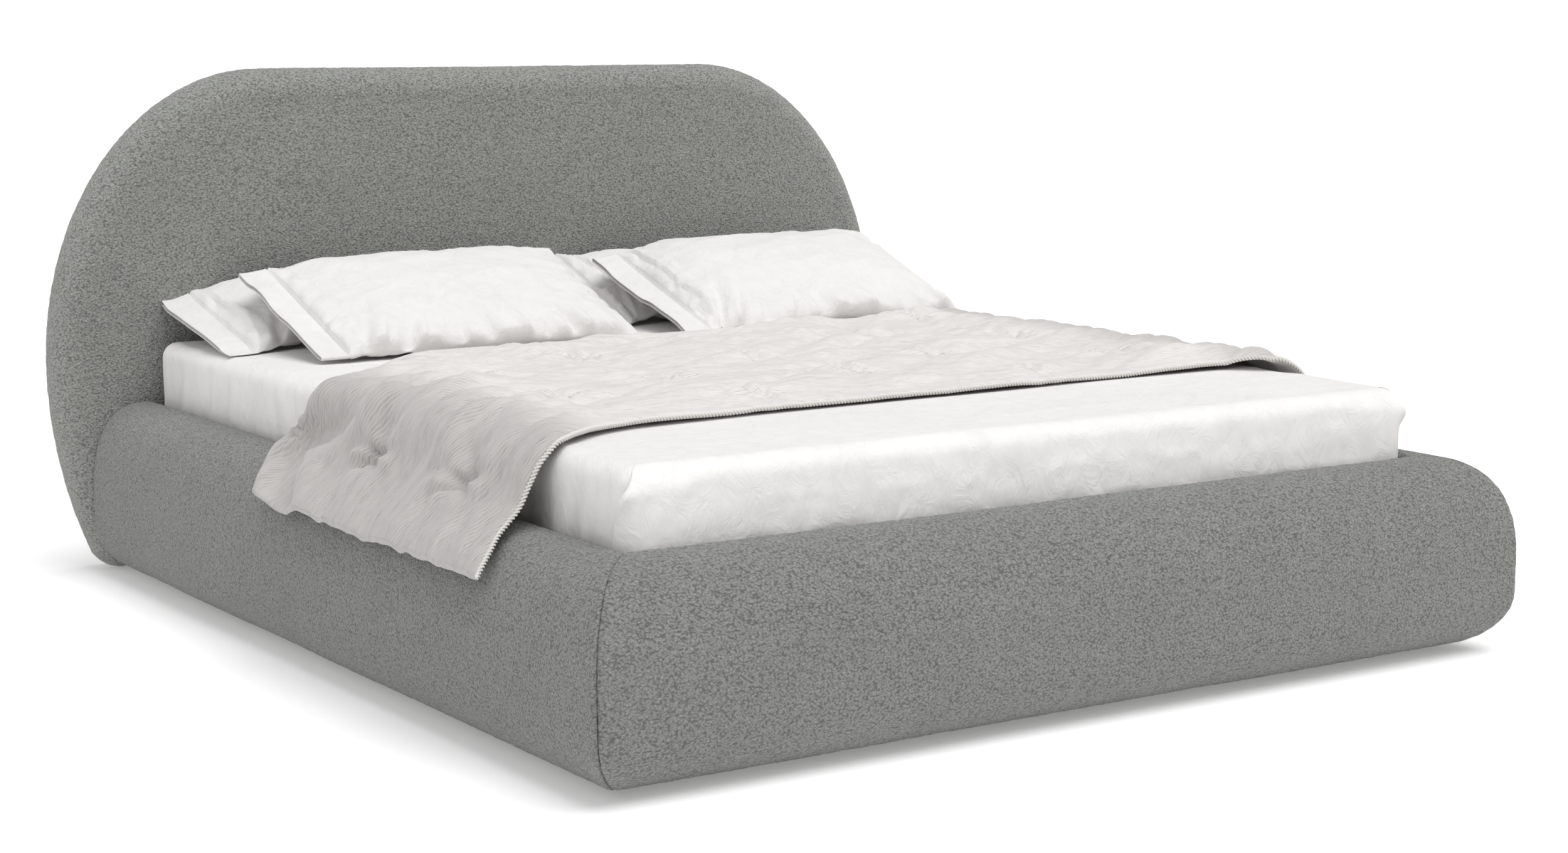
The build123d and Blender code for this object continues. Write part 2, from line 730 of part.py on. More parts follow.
def build_headboard():
    """Panel, battens, back board, blocks, foam, covers and glides of the headboard."""
    core = arch(CORE_IN, CORE_BOTTOM, 0)
    nodes["headboard_panel"] = head_slab(core, *PANEL_Y)
    nodes["headboard_battens"] = battens()
    nodes["headboard_back_board"] = head_slab(core, *BACK_BOARD_Y)
    nodes["headboard_mount_blocks"] = mount_blocks()
    outer = padded_slab(0)
    inner = padded_slab(COVER)
    cavity = head_slab(core, PANEL_Y[0], BACK_BOARD_Y[1])
    nodes["headboard_foam"] = inner - cavity
    cut("headboard_foam", [nodes["headboard_mount_blocks"]])
    back = head_slab(arch(BACK_SEAM_IN, FLOOR_GAP + BACK_SEAM_IN, 30), HEAD_BACK - 2 * COVER, HEAD_BACK + 1)
    shell = outer - inner
    nodes["headboard_cover"] = shell - back
    nodes["headboard_back_cover"] = shell & back
    nodes["headboard_glides"] = head_glides()
    for name in ("headboard_cover", "headboard_foam", "headboard_panel"):
        cut(name, nodes["headboard_glides"].solids())


def build_rolls():
    """The side rails and the footboard, with the boards' holes still to be drilled."""
    cover, foam, skin = roll_pieces(along_rail, rail_zone(), SIDE_REACH)
    board = block(BOARD_X, BOARD_X + BOARD_T, BOARD_Y, HEAD_FRONT, *BOARD_Z)
    right = {"board": board, "formers": rail_formers(), "skin": skin, "foam": foam, "cover": cover}
    for piece, shape in right.items():
        nodes["right_rail_" + piece] = shape
        nodes["left_rail_" + piece] = mirrored(shape)
    cover, foam, skin = roll_pieces(along_foot, foot_zone(), FOOT_REACH)
    half = BOARD_X + BOARD_T
    nodes["footboard_board"] = block(-half, half, BOARD_Y - BOARD_T, BOARD_Y, *BOARD_Z)
    nodes["footboard_formers"] = foot_formers()
    nodes["footboard_skin"] = skin
    nodes["footboard_foam"] = foam
    nodes["footboard_cover"] = cover
    nodes["base_glides"] = base_glides()
    for side in ("left_rail_", "right_rail_", "footboard_"):
        for piece in ("cover", "foam", "board"):
            cut(side + piece, nodes["base_glides"].solids())


def build_corners():
    """Corner brackets with their bolts and nuts, and every hole that the bolts need."""
    at_head = corner_bracket(HEAD_FRONT, -1)
    at_foot = corner_bracket(FOOT_FACE, 1)
    fixings = corner_bolts()
    bolts = [fixing[0] for fixing in fixings]
    nuts = [fixing[1] for fixing in fixings]
    holes = [fixing[2] for fixing in fixings]
    for hole in holes:
        at_head = at_head - hole
        at_foot = at_foot - hole
    nodes["head_corner_brackets"] = total([at_head, mirrored(at_head)])
    nodes["foot_corner_brackets"] = total([at_foot, mirrored(at_foot)])
    nodes["corner_bolts"] = total(bolts + [mirrored(piece) for piece in bolts])
    nodes["corner_nuts"] = total(nuts + [mirrored(piece) for piece in nuts])
    both = holes + [mirrored(hole) for hole in holes]
    drilled = ["headboard_cover", "headboard_mount_blocks", "headboard_panel"]
    for side in ("left_rail_", "right_rail_", "footboard_"):
        drilled += [side + "cover", side + "board"]
    for name in drilled:
        cut(name, both)


def build_base():
    """Ledgers, centre beam and legs, and the two slatted bases."""
    screws = ledger_screws()
    right = ledger()
    for piece in screws:
        right = right - piece
    nodes["right_ledger"] = right
    nodes["left_ledger"] = mirrored(right)
    both = screws + [mirrored(piece) for piece in screws]
    nodes["ledger_screws"] = total(both)
    for side in ("left_rail_", "right_rail_"):
        cut(side + "cover", both)
        cut(side + "board", both)
    nodes["centre_beam"] = centre_beam()
    fixings = hanger_screws()
    nodes["beam_hangers"] = total([hanger(HEAD_FRONT, -1), hanger(FOOT_FACE, 1)])
    nodes["hanger_screws"] = total(fixings)
    for name in (
        "beam_hangers",
        "headboard_cover",
        "headboard_mount_blocks",
        "footboard_cover",
        "footboard_board",
    ):
        cut(name, fixings)
    nodes["centre_legs"] = centre_legs()
    nodes["centre_leg_feet"] = leg_feet()
    places = slat_positions()
    caps = [cap for y in places for cap in slat_holders(y)]
    base = {"frame": slat_frame(), "slats": total([slat(y) for y in places]), "caps": total(caps)}
    for piece, shape in base.items():
        nodes["right_base_" + piece] = shape
        nodes["left_base_" + piece] = mirrored(shape)


def build_bedding():
    """Mattress, sheet, pillows and coverlet."""
    nodes["mattress_core"] = mattress_body(SHEET + TICKING)
    nodes["mattress_ticking"] = mattress_body(SHEET) - mattress_body(SHEET + TICKING)
    nodes["bed_sheet"] = bed_sheet()
    for name, (middle, tilt, size) in PILLOWS.items():
        filling, case = pillow_pair(Pos(*middle) * Rot(tilt, 0, 0), *size)
        nodes[name + "_pillow"] = filling
        nodes[name + "_pillowcase"] = case
    nodes["coverlet"] = coverlet()
    nodes["coverlet_edging"] = coverlet_edging()


build_headboard()
build_rolls()
build_corners()
build_base()
build_bedding()

os.makedirs("parts", exist_ok=True)
for name, shape in nodes.items():
    export_step(shape, "parts/" + name + ".step")
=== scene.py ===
import math

import bmesh
import bpy
import numpy as np
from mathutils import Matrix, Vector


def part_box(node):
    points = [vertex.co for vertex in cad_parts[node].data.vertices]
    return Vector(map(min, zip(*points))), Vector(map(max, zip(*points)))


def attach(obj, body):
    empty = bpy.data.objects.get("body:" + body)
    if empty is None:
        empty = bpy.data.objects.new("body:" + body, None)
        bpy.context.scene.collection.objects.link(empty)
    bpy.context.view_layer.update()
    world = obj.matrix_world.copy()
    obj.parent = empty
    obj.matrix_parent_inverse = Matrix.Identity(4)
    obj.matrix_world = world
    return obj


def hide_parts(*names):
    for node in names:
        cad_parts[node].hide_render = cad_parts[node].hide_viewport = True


# Upholstered platform bed with its bedding. Metres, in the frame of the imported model:
# +X across the bed, +Y towards the head, +Z up, with the floor at 0.

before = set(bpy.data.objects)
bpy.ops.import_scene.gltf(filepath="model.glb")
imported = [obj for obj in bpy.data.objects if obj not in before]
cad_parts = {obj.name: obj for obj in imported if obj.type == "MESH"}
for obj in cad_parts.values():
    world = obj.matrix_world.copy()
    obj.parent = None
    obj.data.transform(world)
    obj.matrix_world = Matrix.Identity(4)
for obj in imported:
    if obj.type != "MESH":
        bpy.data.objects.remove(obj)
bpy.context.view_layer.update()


# ---------------------------------------------------------------- numbers


def box(node):
    """Lowest and highest corner of a CAD node, as arrays."""
    low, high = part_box(node)
    return np.array(low), np.array(high)


def noise(points, size, seed=0):
    """Smooth noise from -1 to 1, with features of about size metres (one number, or one for each axis)."""
    p = np.asarray(points, float) / np.asarray(size, float) + 17.31 * (seed + 1)
    cell = np.floor(p).astype(np.int64)
    t = p - cell
    t = t * t * t * (t * (6 * t - 15) + 10)
    total = np.zeros(len(p))
    for corner in range(8):
        step = np.array([corner & 1, corner >> 1 & 1, corner >> 2 & 1])
        weight = np.prod(np.where(step, t, 1 - t), axis=1)
        k = cell + step
        h = (k[:, 0] * 73856093) ^ (k[:, 1] * 19349663) ^ (k[:, 2] * 83492791)
        h = ((h ^ (h >> 15)) * 73244475) & 0xFFFFFFFF
        h = ((h ^ (h >> 13)) * 73244475) & 0xFFFFFFFF
        total += weight * (((h >> 9) & 0xFFFF) / 32767.5 - 1)
    return total


def ridged(points, size, seed=0):
    """Noise with sharp crests at 1 and broad hollows down to -1."""
    return 1 - 4 * np.abs(noise(points, size, seed))


def ramp(x, start, end):
    """0 at start, 1 at end, and smooth between."""
    t = np.clip((x - start) / (end - start), 0, 1)
    return t * t * (3 - 2 * t)


def squared_arc(centre, radii, power, count=60):
    """Points along the upper right quarter of a superellipse, from its top to its side."""
    a = np.radians(np.linspace(90, 0, count))
    x = centre[0] + radii[0] * np.cos(a).clip(0) ** (2 / power)
    y = centre[1] + radii[1] * np.sin(a) ** (2 / power)
    return np.column_stack([x, y])


def arc(centre, radii, start, end, count=32):
    """Points along an elliptical arc, angles in degrees."""
    a = np.radians(np.linspace(start, end, count))
    return np.column_stack([centre[0] + radii[0] * np.cos(a), centre[1] + radii[1] * np.sin(a)])


def resample(line, steps, closed=False):
    """The line again with even spacing; steps is one spacing or one for each given point."""
    line = np.asarray(line, float)
    steps = np.broadcast_to(steps, len(line))
    if closed:
        line = np.vstack([line, line[:1]])
        steps = np.append(steps, steps[0])
    lengths = np.linalg.norm(np.diff(line[:, :3], axis=0), axis=1)
    load = np.concatenate([[0], np.cumsum(lengths * 2 / (steps[1:] + steps[:-1]))])
    at = np.linspace(0, load[-1], max(2, math.ceil(load[-1]) + 1))
    made = np.column_stack([np.interp(at, load, column) for column in line.T])
    return made[:-1] if closed else made


def soften(values, times, width=1):
    """Values along their first axis, averaged with their neighbours."""
    values = np.asarray(values, float)
    for _ in range(times):
        padded = np.concatenate([values[:1]] * width + [values] + [values[-1:]] * width)
        values = sum(padded[i : i + len(values)] for i in range(2 * width + 1)) / (2 * width + 1)
    return values


# ---------------------------------------------------------------- meshes


def grid_faces(rows, cols, start=0, wrap=False):
    """Quads over a grid of vertices; wrap joins the last column to the first."""
    r = np.arange(rows - 1)[:, None] * cols
    c = np.arange(cols if wrap else cols - 1)[None, :]
    n = (c + 1) % cols
    return np.stack([r + c, r + n, r + cols + n, r + cols + c], -1).reshape(-1, 4) + start


def make_piece(name, points, faces, cloth=None, weld=0.00005):
    """A smooth mesh object. cloth is each point's place on the flat cloth, in metres, for the weave."""
    mesh = bpy.data.meshes.new(name)
    mesh.from_pydata(np.asarray(points, float).reshape(-1, 3).tolist(), [], np.asarray(faces).tolist())
    if cloth is not None:
        flat = np.column_stack([np.asarray(cloth, float).reshape(-1, 2), np.zeros(len(mesh.vertices))])
        mesh.attributes.new("cloth", "FLOAT_VECTOR", "POINT").data.foreach_set("vector", flat.ravel())
    bm = bmesh.new()
    bm.from_mesh(mesh)
    if weld:
        bmesh.ops.remove_doubles(bm, verts=bm.verts, dist=weld)
        bmesh.ops.dissolve_degenerate(bm, edges=bm.edges, dist=1e-7)
    bmesh.ops.recalc_face_normals(bm, faces=bm.faces)
    bm.to_mesh(mesh)
    bm.free()
    mesh.polygons.foreach_set("use_smooth", np.ones(len(mesh.polygons), bool))
    piece = bpy.data.objects.new(name, mesh)
    bpy.context.scene.collection.objects.link(piece)
    return piece


def points_of(piece):
    made = np.empty(len(piece.data.vertices) * 3)
    piece.data.vertices.foreach_get("co", made)
    return made.reshape(-1, 3)


def normals_of(piece):
    made = np.empty(len(piece.data.vertices) * 3)
    piece.data.vertices.foreach_get("normal", made)
    return made.reshape(-1, 3)


def place(piece, points):
    piece.data.vertices.foreach_set("co", np.asarray(points, float).ravel())
    piece.data.update()


def push(piece, amount):
    """Moves each vertex along its normal."""
    place(piece, points_of(piece) + normals_of(piece) * np.asarray(amount)[:, None])


def finish_piece(piece, material, body, nodes=()):
    """Material, body and the CAD nodes that the piece stands for."""
    piece.data.materials.clear()
    piece.data.materials.append(material)
    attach(piece, body)
    if nodes:
        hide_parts(*nodes)
    return piece


# ---------------------------------------------------------------- materials


class Shader:
    """A material with one Principled shader, and short ways to add nodes to it."""

    def __init__(self, name, **values):
        self.material = bpy.data.materials.new(name)
        self.material.use_nodes = True
        self.tree = self.material.node_tree
        self.shader = self.tree.nodes["Principled BSDF"]
        for socket, value in values.items():
            self.shader.inputs[socket.replace("_", " ")].default_value = value

    def add(self, kind, settings=None, **inputs):
        """Adds a node; an input is a value or another node's output."""
        node = self.tree.nodes.new("ShaderNode" + kind)
        for key, value in (settings or {}).items():
            setattr(node, key, value)
        for key, value in inputs.items():
            socket = node.inputs[int(key[1:])] if key[1:].isdigit() else node.inputs[key.replace("_", " ")]
            if isinstance(value, bpy.types.NodeSocket):
                self.tree.links.new(value, socket)
            else:
                socket.default_value = value
        return node

    def math(self, operation, a, b=0.0, clamp=False):
        return self.add("Math", {"operation": operation, "use_clamp": clamp}, _0=a, _1=b).outputs[0]

    def place_of(self, stretch=(1, 1, 1), attribute=None):
        """The surface's own coordinates, or the flat cloth's, in metres and stretched."""
        if attribute:
            source = self.add("Attribute", {"attribute_name": attribute}).outputs["Vector"]
        else:
            source = self.add("TexCoord").outputs["Object"]
        return self.add("Mapping", Vector=source, Scale=stretch).outputs[0]

    def texture(self, where, scale, detail=2.0, roughness=0.5, distortion=0.0):
        made = self.add("TexNoise", Vector=where, Scale=scale, Detail=detail, Roughness=roughness)
        made.inputs["Distortion"].default_value = distortion
        return made.outputs[0]

    def ramp(self, factor, *stops):
        """A colour ramp from (position, colour) stops."""
        made = self.add("ValToRGB", Fac=factor)
        elements = made.color_ramp.elements
        while len(elements) < len(stops):
            elements.new(0.5)
        for element, (position, colour) in zip(elements, stops):
            element.position = position
            element.color = (*colour, 1)
        return made.outputs[0]

    def mix(self, factor, a, b, blend="MIX"):
        made = self.add("Mix", {"data_type": "RGBA", "blend_type": blend})
        for index, value in ((0, factor), (6, a), (7, b)):
            if isinstance(value, bpy.types.NodeSocket):
                self.tree.links.new(value, made.inputs[index])
            elif index:
                made.inputs[index].default_value = (*value, 1)
            else:
                made.inputs[index].default_value = value
        return made.outputs[2]

    def colour(self, value):
        self.tree.links.new(value, self.shader.inputs["Base Color"])

    def rough(self, value):
        self.tree.links.new(value, self.shader.inputs["Roughness"])

    def bump(self, height, distance, strength=1.0):
        """Bumps of that height in metres; a second call adds to the first."""
        before = self.shader.inputs["Normal"].links
        made = self.add("Bump", Height=height, Distance=distance, Strength=strength)
        if before:
            self.tree.links.new(before[0].from_socket, made.inputs["Normal"])
        self.tree.links.new(made.outputs[0], self.shader.inputs["Normal"])


def tones(colour, *factors):
    """Darker and lighter versions of a colour."""
    return [tuple(min(1, c * f) for c in colour) for f in factors]


BOUCLE_GREY = (0.300, 0.306, 0.285)
CURLS_PER_METRE = 250
LINEN_GREY = (0.69, 0.665, 0.647)
LINEN_LIES = 0.66  # this far across from its middle, the coverlet still lies on the mattress, and its painted shade begins
LINEN_HANGS = 0.80  # and from here on it hangs, under the full painted shade
LINEN_PAINTED_SHADE = 0.65  # the hanging part's share of brightness: painted shade on the drape


def boucle(name, painted_shade):
    """Grey boucle: small crowded curls, darker in the gaps between them as painted shade and lighter on their
    crests as painted light. painted_shade is its share of brightness, itself painted shade: lower for the
    rolls' copy than for the headboard's.
    """
    s = Shader(name, Roughness=0.95, Sheen_Weight=0.25, Sheen_Roughness=0.6)
    s.shader.inputs["Specular IOR Level"].default_value = 0.15
    where = s.place_of((0.9, 0.9, 1.25))
    drift = s.add("TexNoise", Vector=where, Scale=130, Detail=2).outputs["Color"]
    drift = s.add("VectorMath", {"operation": "SUBTRACT"}, _0=drift, _1=(0.5, 0.5, 0.5)).outputs[0]
    moved = s.add("VectorMath", {"operation": "SCALE"}, _0=drift, Scale=0.008).outputs[0]
    moved = s.add("VectorMath", {"operation": "ADD"}, _0=where, _1=moved).outputs[0]
    cells = s.add("TexVoronoi", {"feature": "SMOOTH_F1"}, Vector=moved, Scale=CURLS_PER_METRE)
    cells.inputs["Smoothness"].default_value = 0.4
    curl = s.math("MULTIPLY_ADD", cells.outputs[0], -1.5)
    curl.node.inputs[2].default_value = 1.1
    threads = s.texture(moved, 800, detail=2)
    height = s.math("ADD", s.math("MULTIPLY", curl, 0.8), s.math("MULTIPLY", threads, 0.42), clamp=True)
    # The colour follows the curls' height: painted shade in the gaps between them, painted light on their
    # crests.
    dark, low, mid, high = tones(BOUCLE_GREY, *(painted_shade * f for f in (0.50, 0.86, 1.05, 1.34)))
    face = s.ramp(height, (0.18, dark), (0.42, low), (0.62, mid), (0.88, high))
    patches = s.texture(s.place_of(), 7, detail=5)
    s.colour(s.mix(1.0, face, s.ramp(patches, (0.3, (0.93,) * 3), (0.7, (1.0,) * 3)), "MULTIPLY"))
    s.bump(height, 0.0030, 0.9)
    return s.material


def cotton(name, colour):
    """Washed percale: a fine weave, soft creases and faint unevenness."""
    s = Shader(name, Roughness=0.85, Sheen_Weight=0.15, Sheen_Roughness=0.5)
    s.shader.inputs["Specular IOR Level"].default_value = 0.2
    where = s.place_of()
    cloud = s.texture(where, 5, detail=6, roughness=0.6)
    dull, full = tones(colour, 0.955, 1.0)
    s.colour(s.ramp(cloud, (0.3, dull), (0.65, full)))
    creases = s.texture(s.place_of((1, 1, 0.6)), 26, detail=7, roughness=0.62, distortion=1.4)
    s.bump(creases, 0.006, 0.7)
    weave = s.texture(where, 900, detail=1)
    s.bump(weave, 0.0002, 0.5)
    return s.material


def linen():
    """Coverlet face: slubby warm grey linen with a fine twill line, and painted shade that darkens it where
    it hangs.
    """
    s = Shader("coverlet_linen", Roughness=0.92, Sheen_Weight=0.25, Sheen_Roughness=0.5)
    s.shader.inputs["Specular IOR Level"].default_value = 0.15
    slubs = s.texture(s.place_of((34, 620, 1), "cloth"), 1.0, detail=4, roughness=0.6)
    broad = s.texture(s.place_of((4, 60, 1), "cloth"), 1.0, detail=3)
    twill = s.add(
        "TexWave",
        {"wave_type": "BANDS", "bands_direction": "DIAGONAL"},
        Vector=s.place_of((0.25, 1, 1), "cloth"),
        Scale=105,
        Distortion=0.5,
        Detail=2,
    ).outputs[0]
    body = s.math("ADD", s.math("MULTIPLY", slubs, 0.72), s.math("MULTIPLY", twill, 0.13))
    body = s.math("ADD", body, s.math("MULTIPLY", broad, 0.29), clamp=True)
    deep, low, mid, high = tones(LINEN_GREY, 0.46, 0.80, 1.0, 1.13)
    face = s.ramp(body, (0.3, deep), (0.44, low), (0.56, mid), (0.8, high))
    # Painted shade: the colour darkens from where the coverlet lies on the mattress to where it hangs.
    across = s.add("SeparateXYZ", Vector=s.place_of(attribute="cloth")).outputs[0]
    across = s.math("ABSOLUTE", across)
    painted_shade = s.ramp(across, (LINEN_LIES, (1.0,) * 3), (LINEN_HANGS, (LINEN_PAINTED_SHADE,) * 3))
    s.colour(s.mix(1.0, face, painted_shade, "MULTIPLY"))
    s.bump(slubs, 0.0007, 0.5)
    s.bump(twill, 0.0003, 0.5)
    return s.material


def yarn(name, colour):
    """Plied yarn of a cord or a stitch."""
    s = Shader(name, Roughness=0.85, Sheen_Weight=0.2)
    fibres = s.texture(s.place_of(), 1400, detail=2)
    s.colour(s.ramp(fibres, (0.3, tones(colour, 0.8)[0]), (0.7, colour)))
    s.bump(fibres, 0.0003, 0.6)
    return s.material


def wood(name, colour, along=(1, 12, 12), ring=9.0, rough=0.6):
    """Straight-grained wood; the grain runs along the axis whose stretch is 1."""
    s = Shader(name)
    grain = s.texture(s.place_of(along), ring, detail=8, roughness=0.65, distortion=0.6)
    pores = s.texture(s.place_of(tuple(4 * a for a in along)), 40, detail=3)
    dark, low, full = tones(colour, 0.55, 0.82, 1.08)
    face = s.ramp(grain, (0.3, dark), (0.48, low), (0.68, full))
    s.colour(s.mix(0.25, face, s.ramp(pores, (0.4, dark), (0.6, full))))
    s.rough(s.math("MULTIPLY_ADD", grain, 0.2))
    s.shader.inputs["Roughness"].links[0].from_node.inputs[2].default_value = rough - 0.1
    s.bump(pores, 0.0004, 0.4)
    return s.material


def plywood(name, colour, axis):
    """Birch plywood: a rotary-cut face, and plies that show as lines along one axis."""
    s = Shader(name, Roughness=0.62)
    swirl = s.texture(s.place_of((1.5, 3, 14)), 4, detail=7, distortion=1.6)
    dark, low, full = tones(colour, 0.66, 0.88, 1.05)
    face = s.ramp(swirl, (0.34, dark), (0.5, low), (0.66, full))
    bands = {"wave_type": "BANDS", "bands_direction": axis}
    plies = s.add("TexWave", bands, Vector=s.place_of(), Scale=100, Distortion=0.3).outputs[0]
    s.colour(s.mix(0.35, face, s.ramp(plies, (0.35, dark), (0.6, full)), "MULTIPLY"))
    s.bump(swirl, 0.0003, 0.3)
    return s.material


def hardboard():
    """Pressed brown fibreboard."""
    s = Shader("hardboard", Roughness=0.7)
    fibres = s.texture(s.place_of(), 320, detail=5, roughness=0.7)
    s.colour(s.ramp(fibres, (0.32, (0.13, 0.08, 0.045)), (0.5, (0.22, 0.14, 0.08)), (0.72, (0.3, 0.2, 0.12))))
    s.bump(fibres, 0.0004, 0.5)
    return s.material


def metal(name, colour, rough, speckle, metallic):
    """Painted or plated steel with a fine speckle and worn, cloudy gloss."""
    s = Shader(name, Metallic=metallic)
    grain = s.texture(s.place_of(), 900, detail=2)
    cloud = s.texture(s.place_of(), 22, detail=5)
    dull, full = tones(colour, 1 - speckle, 1 + speckle)
    s.colour(s.mix(0.5, s.ramp(grain, (0.35, dull), (0.65, full)), s.ramp(cloud, (0.35, dull), (0.7, full))))
    s.rough(s.ramp(cloud, (0.3, (rough * 0.85,) * 3), (0.7, (rough * 1.2,) * 3)))
    s.bump(grain, 0.0002, 0.4)
    return s.material


def plastic(name, colour, rough):
    """Moulded plastic or rubber with a spark-eroded skin."""
    s = Shader(name)
    skin = s.texture(s.place_of(), 1300, detail=2)
    scuff = s.texture(s.place_of(), 60, detail=6, roughness=0.7)
    low, full = tones(colour, 0.8, 1.25)
    s.colour(s.ramp(scuff, (0.35, low), (0.75, full)))
    s.rough(s.ramp(scuff, (0.3, (rough * 0.85,) * 3), (0.7, (min(1, rough * 1.15),) * 3)))
    s.bump(skin, 0.0002, 0.5)
    return s.material


def ticking():
    """Knitted mattress ticking."""
    s = Shader("ticking", Roughness=0.9, Sheen_Weight=0.2)
    bands = {"wave_type": "BANDS", "bands_direction": "X"}
    knit = s.add("TexWave", bands, Vector=s.place_of(), Scale=55, Distortion=3, Detail=2).outputs[0]
    s.colour(s.ramp(knit, (0.2, (0.6, 0.6, 0.59)), (0.7, (0.74, 0.74, 0.73))))
    s.bump(knit, 0.0008, 0.6)
    return s.material


# The rolls' copy of the boucle is darkened to 0.755 as painted shade; the headboard's stays near full
# brightness.
ROLL_BOUCLE_PAINTED_SHADE = boucle("boucle_rolls_painted_shade", 0.755)
HEAD_BOUCLE = boucle("boucle_headboard", 0.99)
SHEET_COTTON = cotton("sheet_cotton", (0.81, 0.797, 0.784))
PILLOW_COTTON = cotton("pillow_cotton", (0.76, 0.746, 0.733))
LINEN = linen()
CORD_YARN = yarn("coverlet_cord", (0.8, 0.78, 0.75))
TICKING = ticking()


# ---------------------------------------------------------------- boucle covers

FINE = 0.005  # spacing of the covers' vertices where they show
COARSE = 0.014  # and where they don't
SEAM_R = 0.007  # how far a cover rounds into its seam
NEAR_SEAM = (0, 0.0012, 0.003, 0.0055, 0.009)  # distances of a cover's first sections from its seam
CAP_SHARES = (0.0, 0.35, 0.75)  # of a section, for the rings that close a roll's end


def curls(piece, height=0.0009):
    """Works the boucle's clusters of curls, and the padding's own unevenness, into a cover's mesh."""
    p = points_of(piece)
    clusters = 0.8 * noise(p, 0.0092, 3) + 0.2 * ridged(p, 0.013, 5)
    padding = 0.0016 * noise(p, 0.33, 7) + 0.0005 * noise(p, 0.11, 8)
    push(piece, height * clusters + padding)


ROLL_CREST = 0.015  # from a roll's inner face to its highest line
ROLL_POWER = 2.5  # of the top's curve, a little fuller than an ellipse
ROLL_BELLY = (0.115, 0.170)  # heights between which a roll's side is upright
ROLL_FLAT = 0.025  # from the inner face to the outer end of the flat underside
CORNER_R = 0.014  # the most that the foot corners are rounded, seen from above


def roll_section(width, low, top):
    """Outline of a roll as (distance from the inner face, height), closer where it shows."""
    lower, upper = ROLL_BELLY
    r = ROLL_CREST
    shown = np.vstack(
        [
            squared_arc((r, upper), (width - r, top - upper), ROLL_POWER),
            arc((ROLL_FLAT, lower), (width - ROLL_FLAT, lower - low), 0, -90, 40),
        ]
    )
    hidden = np.vstack([arc((r, low + r), (r, r), 270, 180, 10), arc((r, top - r), (r, r), 180, 90, 10)])
    steps = np.concatenate([np.full(len(shown) - 3, FINE), np.full(3 + len(hidden), COARSE)])
    steps[-6:] = FINE
    return resample(np.vstack([shown, hidden]), steps, closed=True)


def rounded(plan, away, slope):
    """Plan points, with the foot corners rounded. away is each point's distance from a side roll's inner
    face."""
    r = np.clip(away[:, 0], 0, CORNER_R)
    for sign in (-1, 1):
        x = sign * (RAIL_LOW[0] + away[:, 0] - r)
        centre = np.column_stack([x, FOOT_HIGH[1] - slope * away[:, 0] + r])
        beyond = plan - centre
        far = np.linalg.norm(beyond, axis=1)
        bend = (sign * beyond[:, 0] > 0) & (beyond[:, 1] < 0) & (far > r)
        plan[bend] = centre[bend] + beyond[bend] * (r[bend] / far[bend])[:, None]
    return plan


def roll(name, section, start_of, end_of, share_of, slope):
    """A padded roll whose section runs from one end to the other, and rounds into a seam at both ends.
    start_of and end_of give the plan place of an end for a distance from the inner face, and share_of turns
    such a distance into a side roll's. slope is how much deeper the footboard is than a side roll."""
    along = np.roll(section, -1, axis=0) - np.roll(section, 1, axis=0)
    outward = np.column_stack([-along[:, 1], along[:, 0]]) / np.linalg.norm(along, axis=1)[:, None]
    centre = section.mean(axis=0)
    near = np.array(NEAR_SEAM)
    length = np.linalg.norm(end_of(centre[:1])[0] - start_of(centre[:1])[0])
    middle = np.linspace(0, 1, int(length / FINE))[1:-1]
    rows = []
    for share in CAP_SHARES:
        rows.append((0, 0, share, SEAM_R))
    for d in near:
        rows.append((0, d, 1, SEAM_R - math.sqrt(max(0, SEAM_R**2 - max(0, SEAM_R - d) ** 2))))
    for t in middle:
        rows.append((t, 0, 1, 0))
    for t, d, share, inset in list(reversed(rows[: len(CAP_SHARES) + len(near)])):
        rows.append((1, -d, share, inset))
    made = []
    for t, d, share, inset in rows:
        flat = centre + share * (section - centre) - share * inset * outward
        first, last = start_of(flat[:, :1]), end_of(flat[:, :1])
        way = (last - first) / np.linalg.norm(last - first, axis=1)[:, None]
        gap = near[-1] + FINE
        inner = first + way * gap, last - way * gap
        plan = inner[0] + t * (inner[1] - inner[0]) if 0 < t < 1 else (first if t == 0 else last) + way * d
        plan = rounded(plan, flat[:, :1] * share_of, slope)
        made.append(np.column_stack([plan, flat[:, 1]]))
    made = np.array(made)
    piece = make_piece(name, made, grid_faces(*made.shape[:2], wrap=True))
    curls(piece)
    return piece


RAIL_LOW, RAIL_HIGH = box("right_rail_cover")
FOOT_LOW, FOOT_HIGH = box("footboard_cover")
RAIL_W = RAIL_HIGH[0] - RAIL_LOW[0]
FOOT_W = FOOT_HIGH[1] - FOOT_LOW[1]


def build_rolls():
    """The two side rails and the footboard, each with its foam and cover as one padded piece."""
    rail = roll_section(RAIL_W, RAIL_LOW[2], RAIL_HIGH[2])
    foot = roll_section(FOOT_W, FOOT_LOW[2], FOOT_HIGH[2])
    slope = FOOT_W / RAIL_W
    for side, sign in (("left", -1), ("right", 1)):

        def head_end(a):
            return np.column_stack([sign * (RAIL_LOW[0] + a), np.full(len(a), RAIL_HIGH[1])])

        def foot_end(a):
            return np.column_stack([sign * (RAIL_LOW[0] + a), FOOT_HIGH[1] - slope * a])

        piece = roll(side + "_rail_upholstery", rail, head_end, foot_end, 1, slope)
        node = side + "_rail_"
        finish_piece(piece, ROLL_BOUCLE_PAINTED_SHADE, "bed_frame", (node + "cover", node + "foam"))

    def left_end(a):
        return np.column_stack([-(RAIL_LOW[0] + a / slope), FOOT_HIGH[1] - a])

    def right_end(a):
        return np.column_stack([RAIL_LOW[0] + a / slope, FOOT_HIGH[1] - a])

    piece = roll("footboard_upholstery", foot, left_end, right_end, 1 / slope, slope)
    finish_piece(piece, ROLL_BOUCLE_PAINTED_SHADE, "bed_frame", ("footboard_cover", "footboard_foam"))


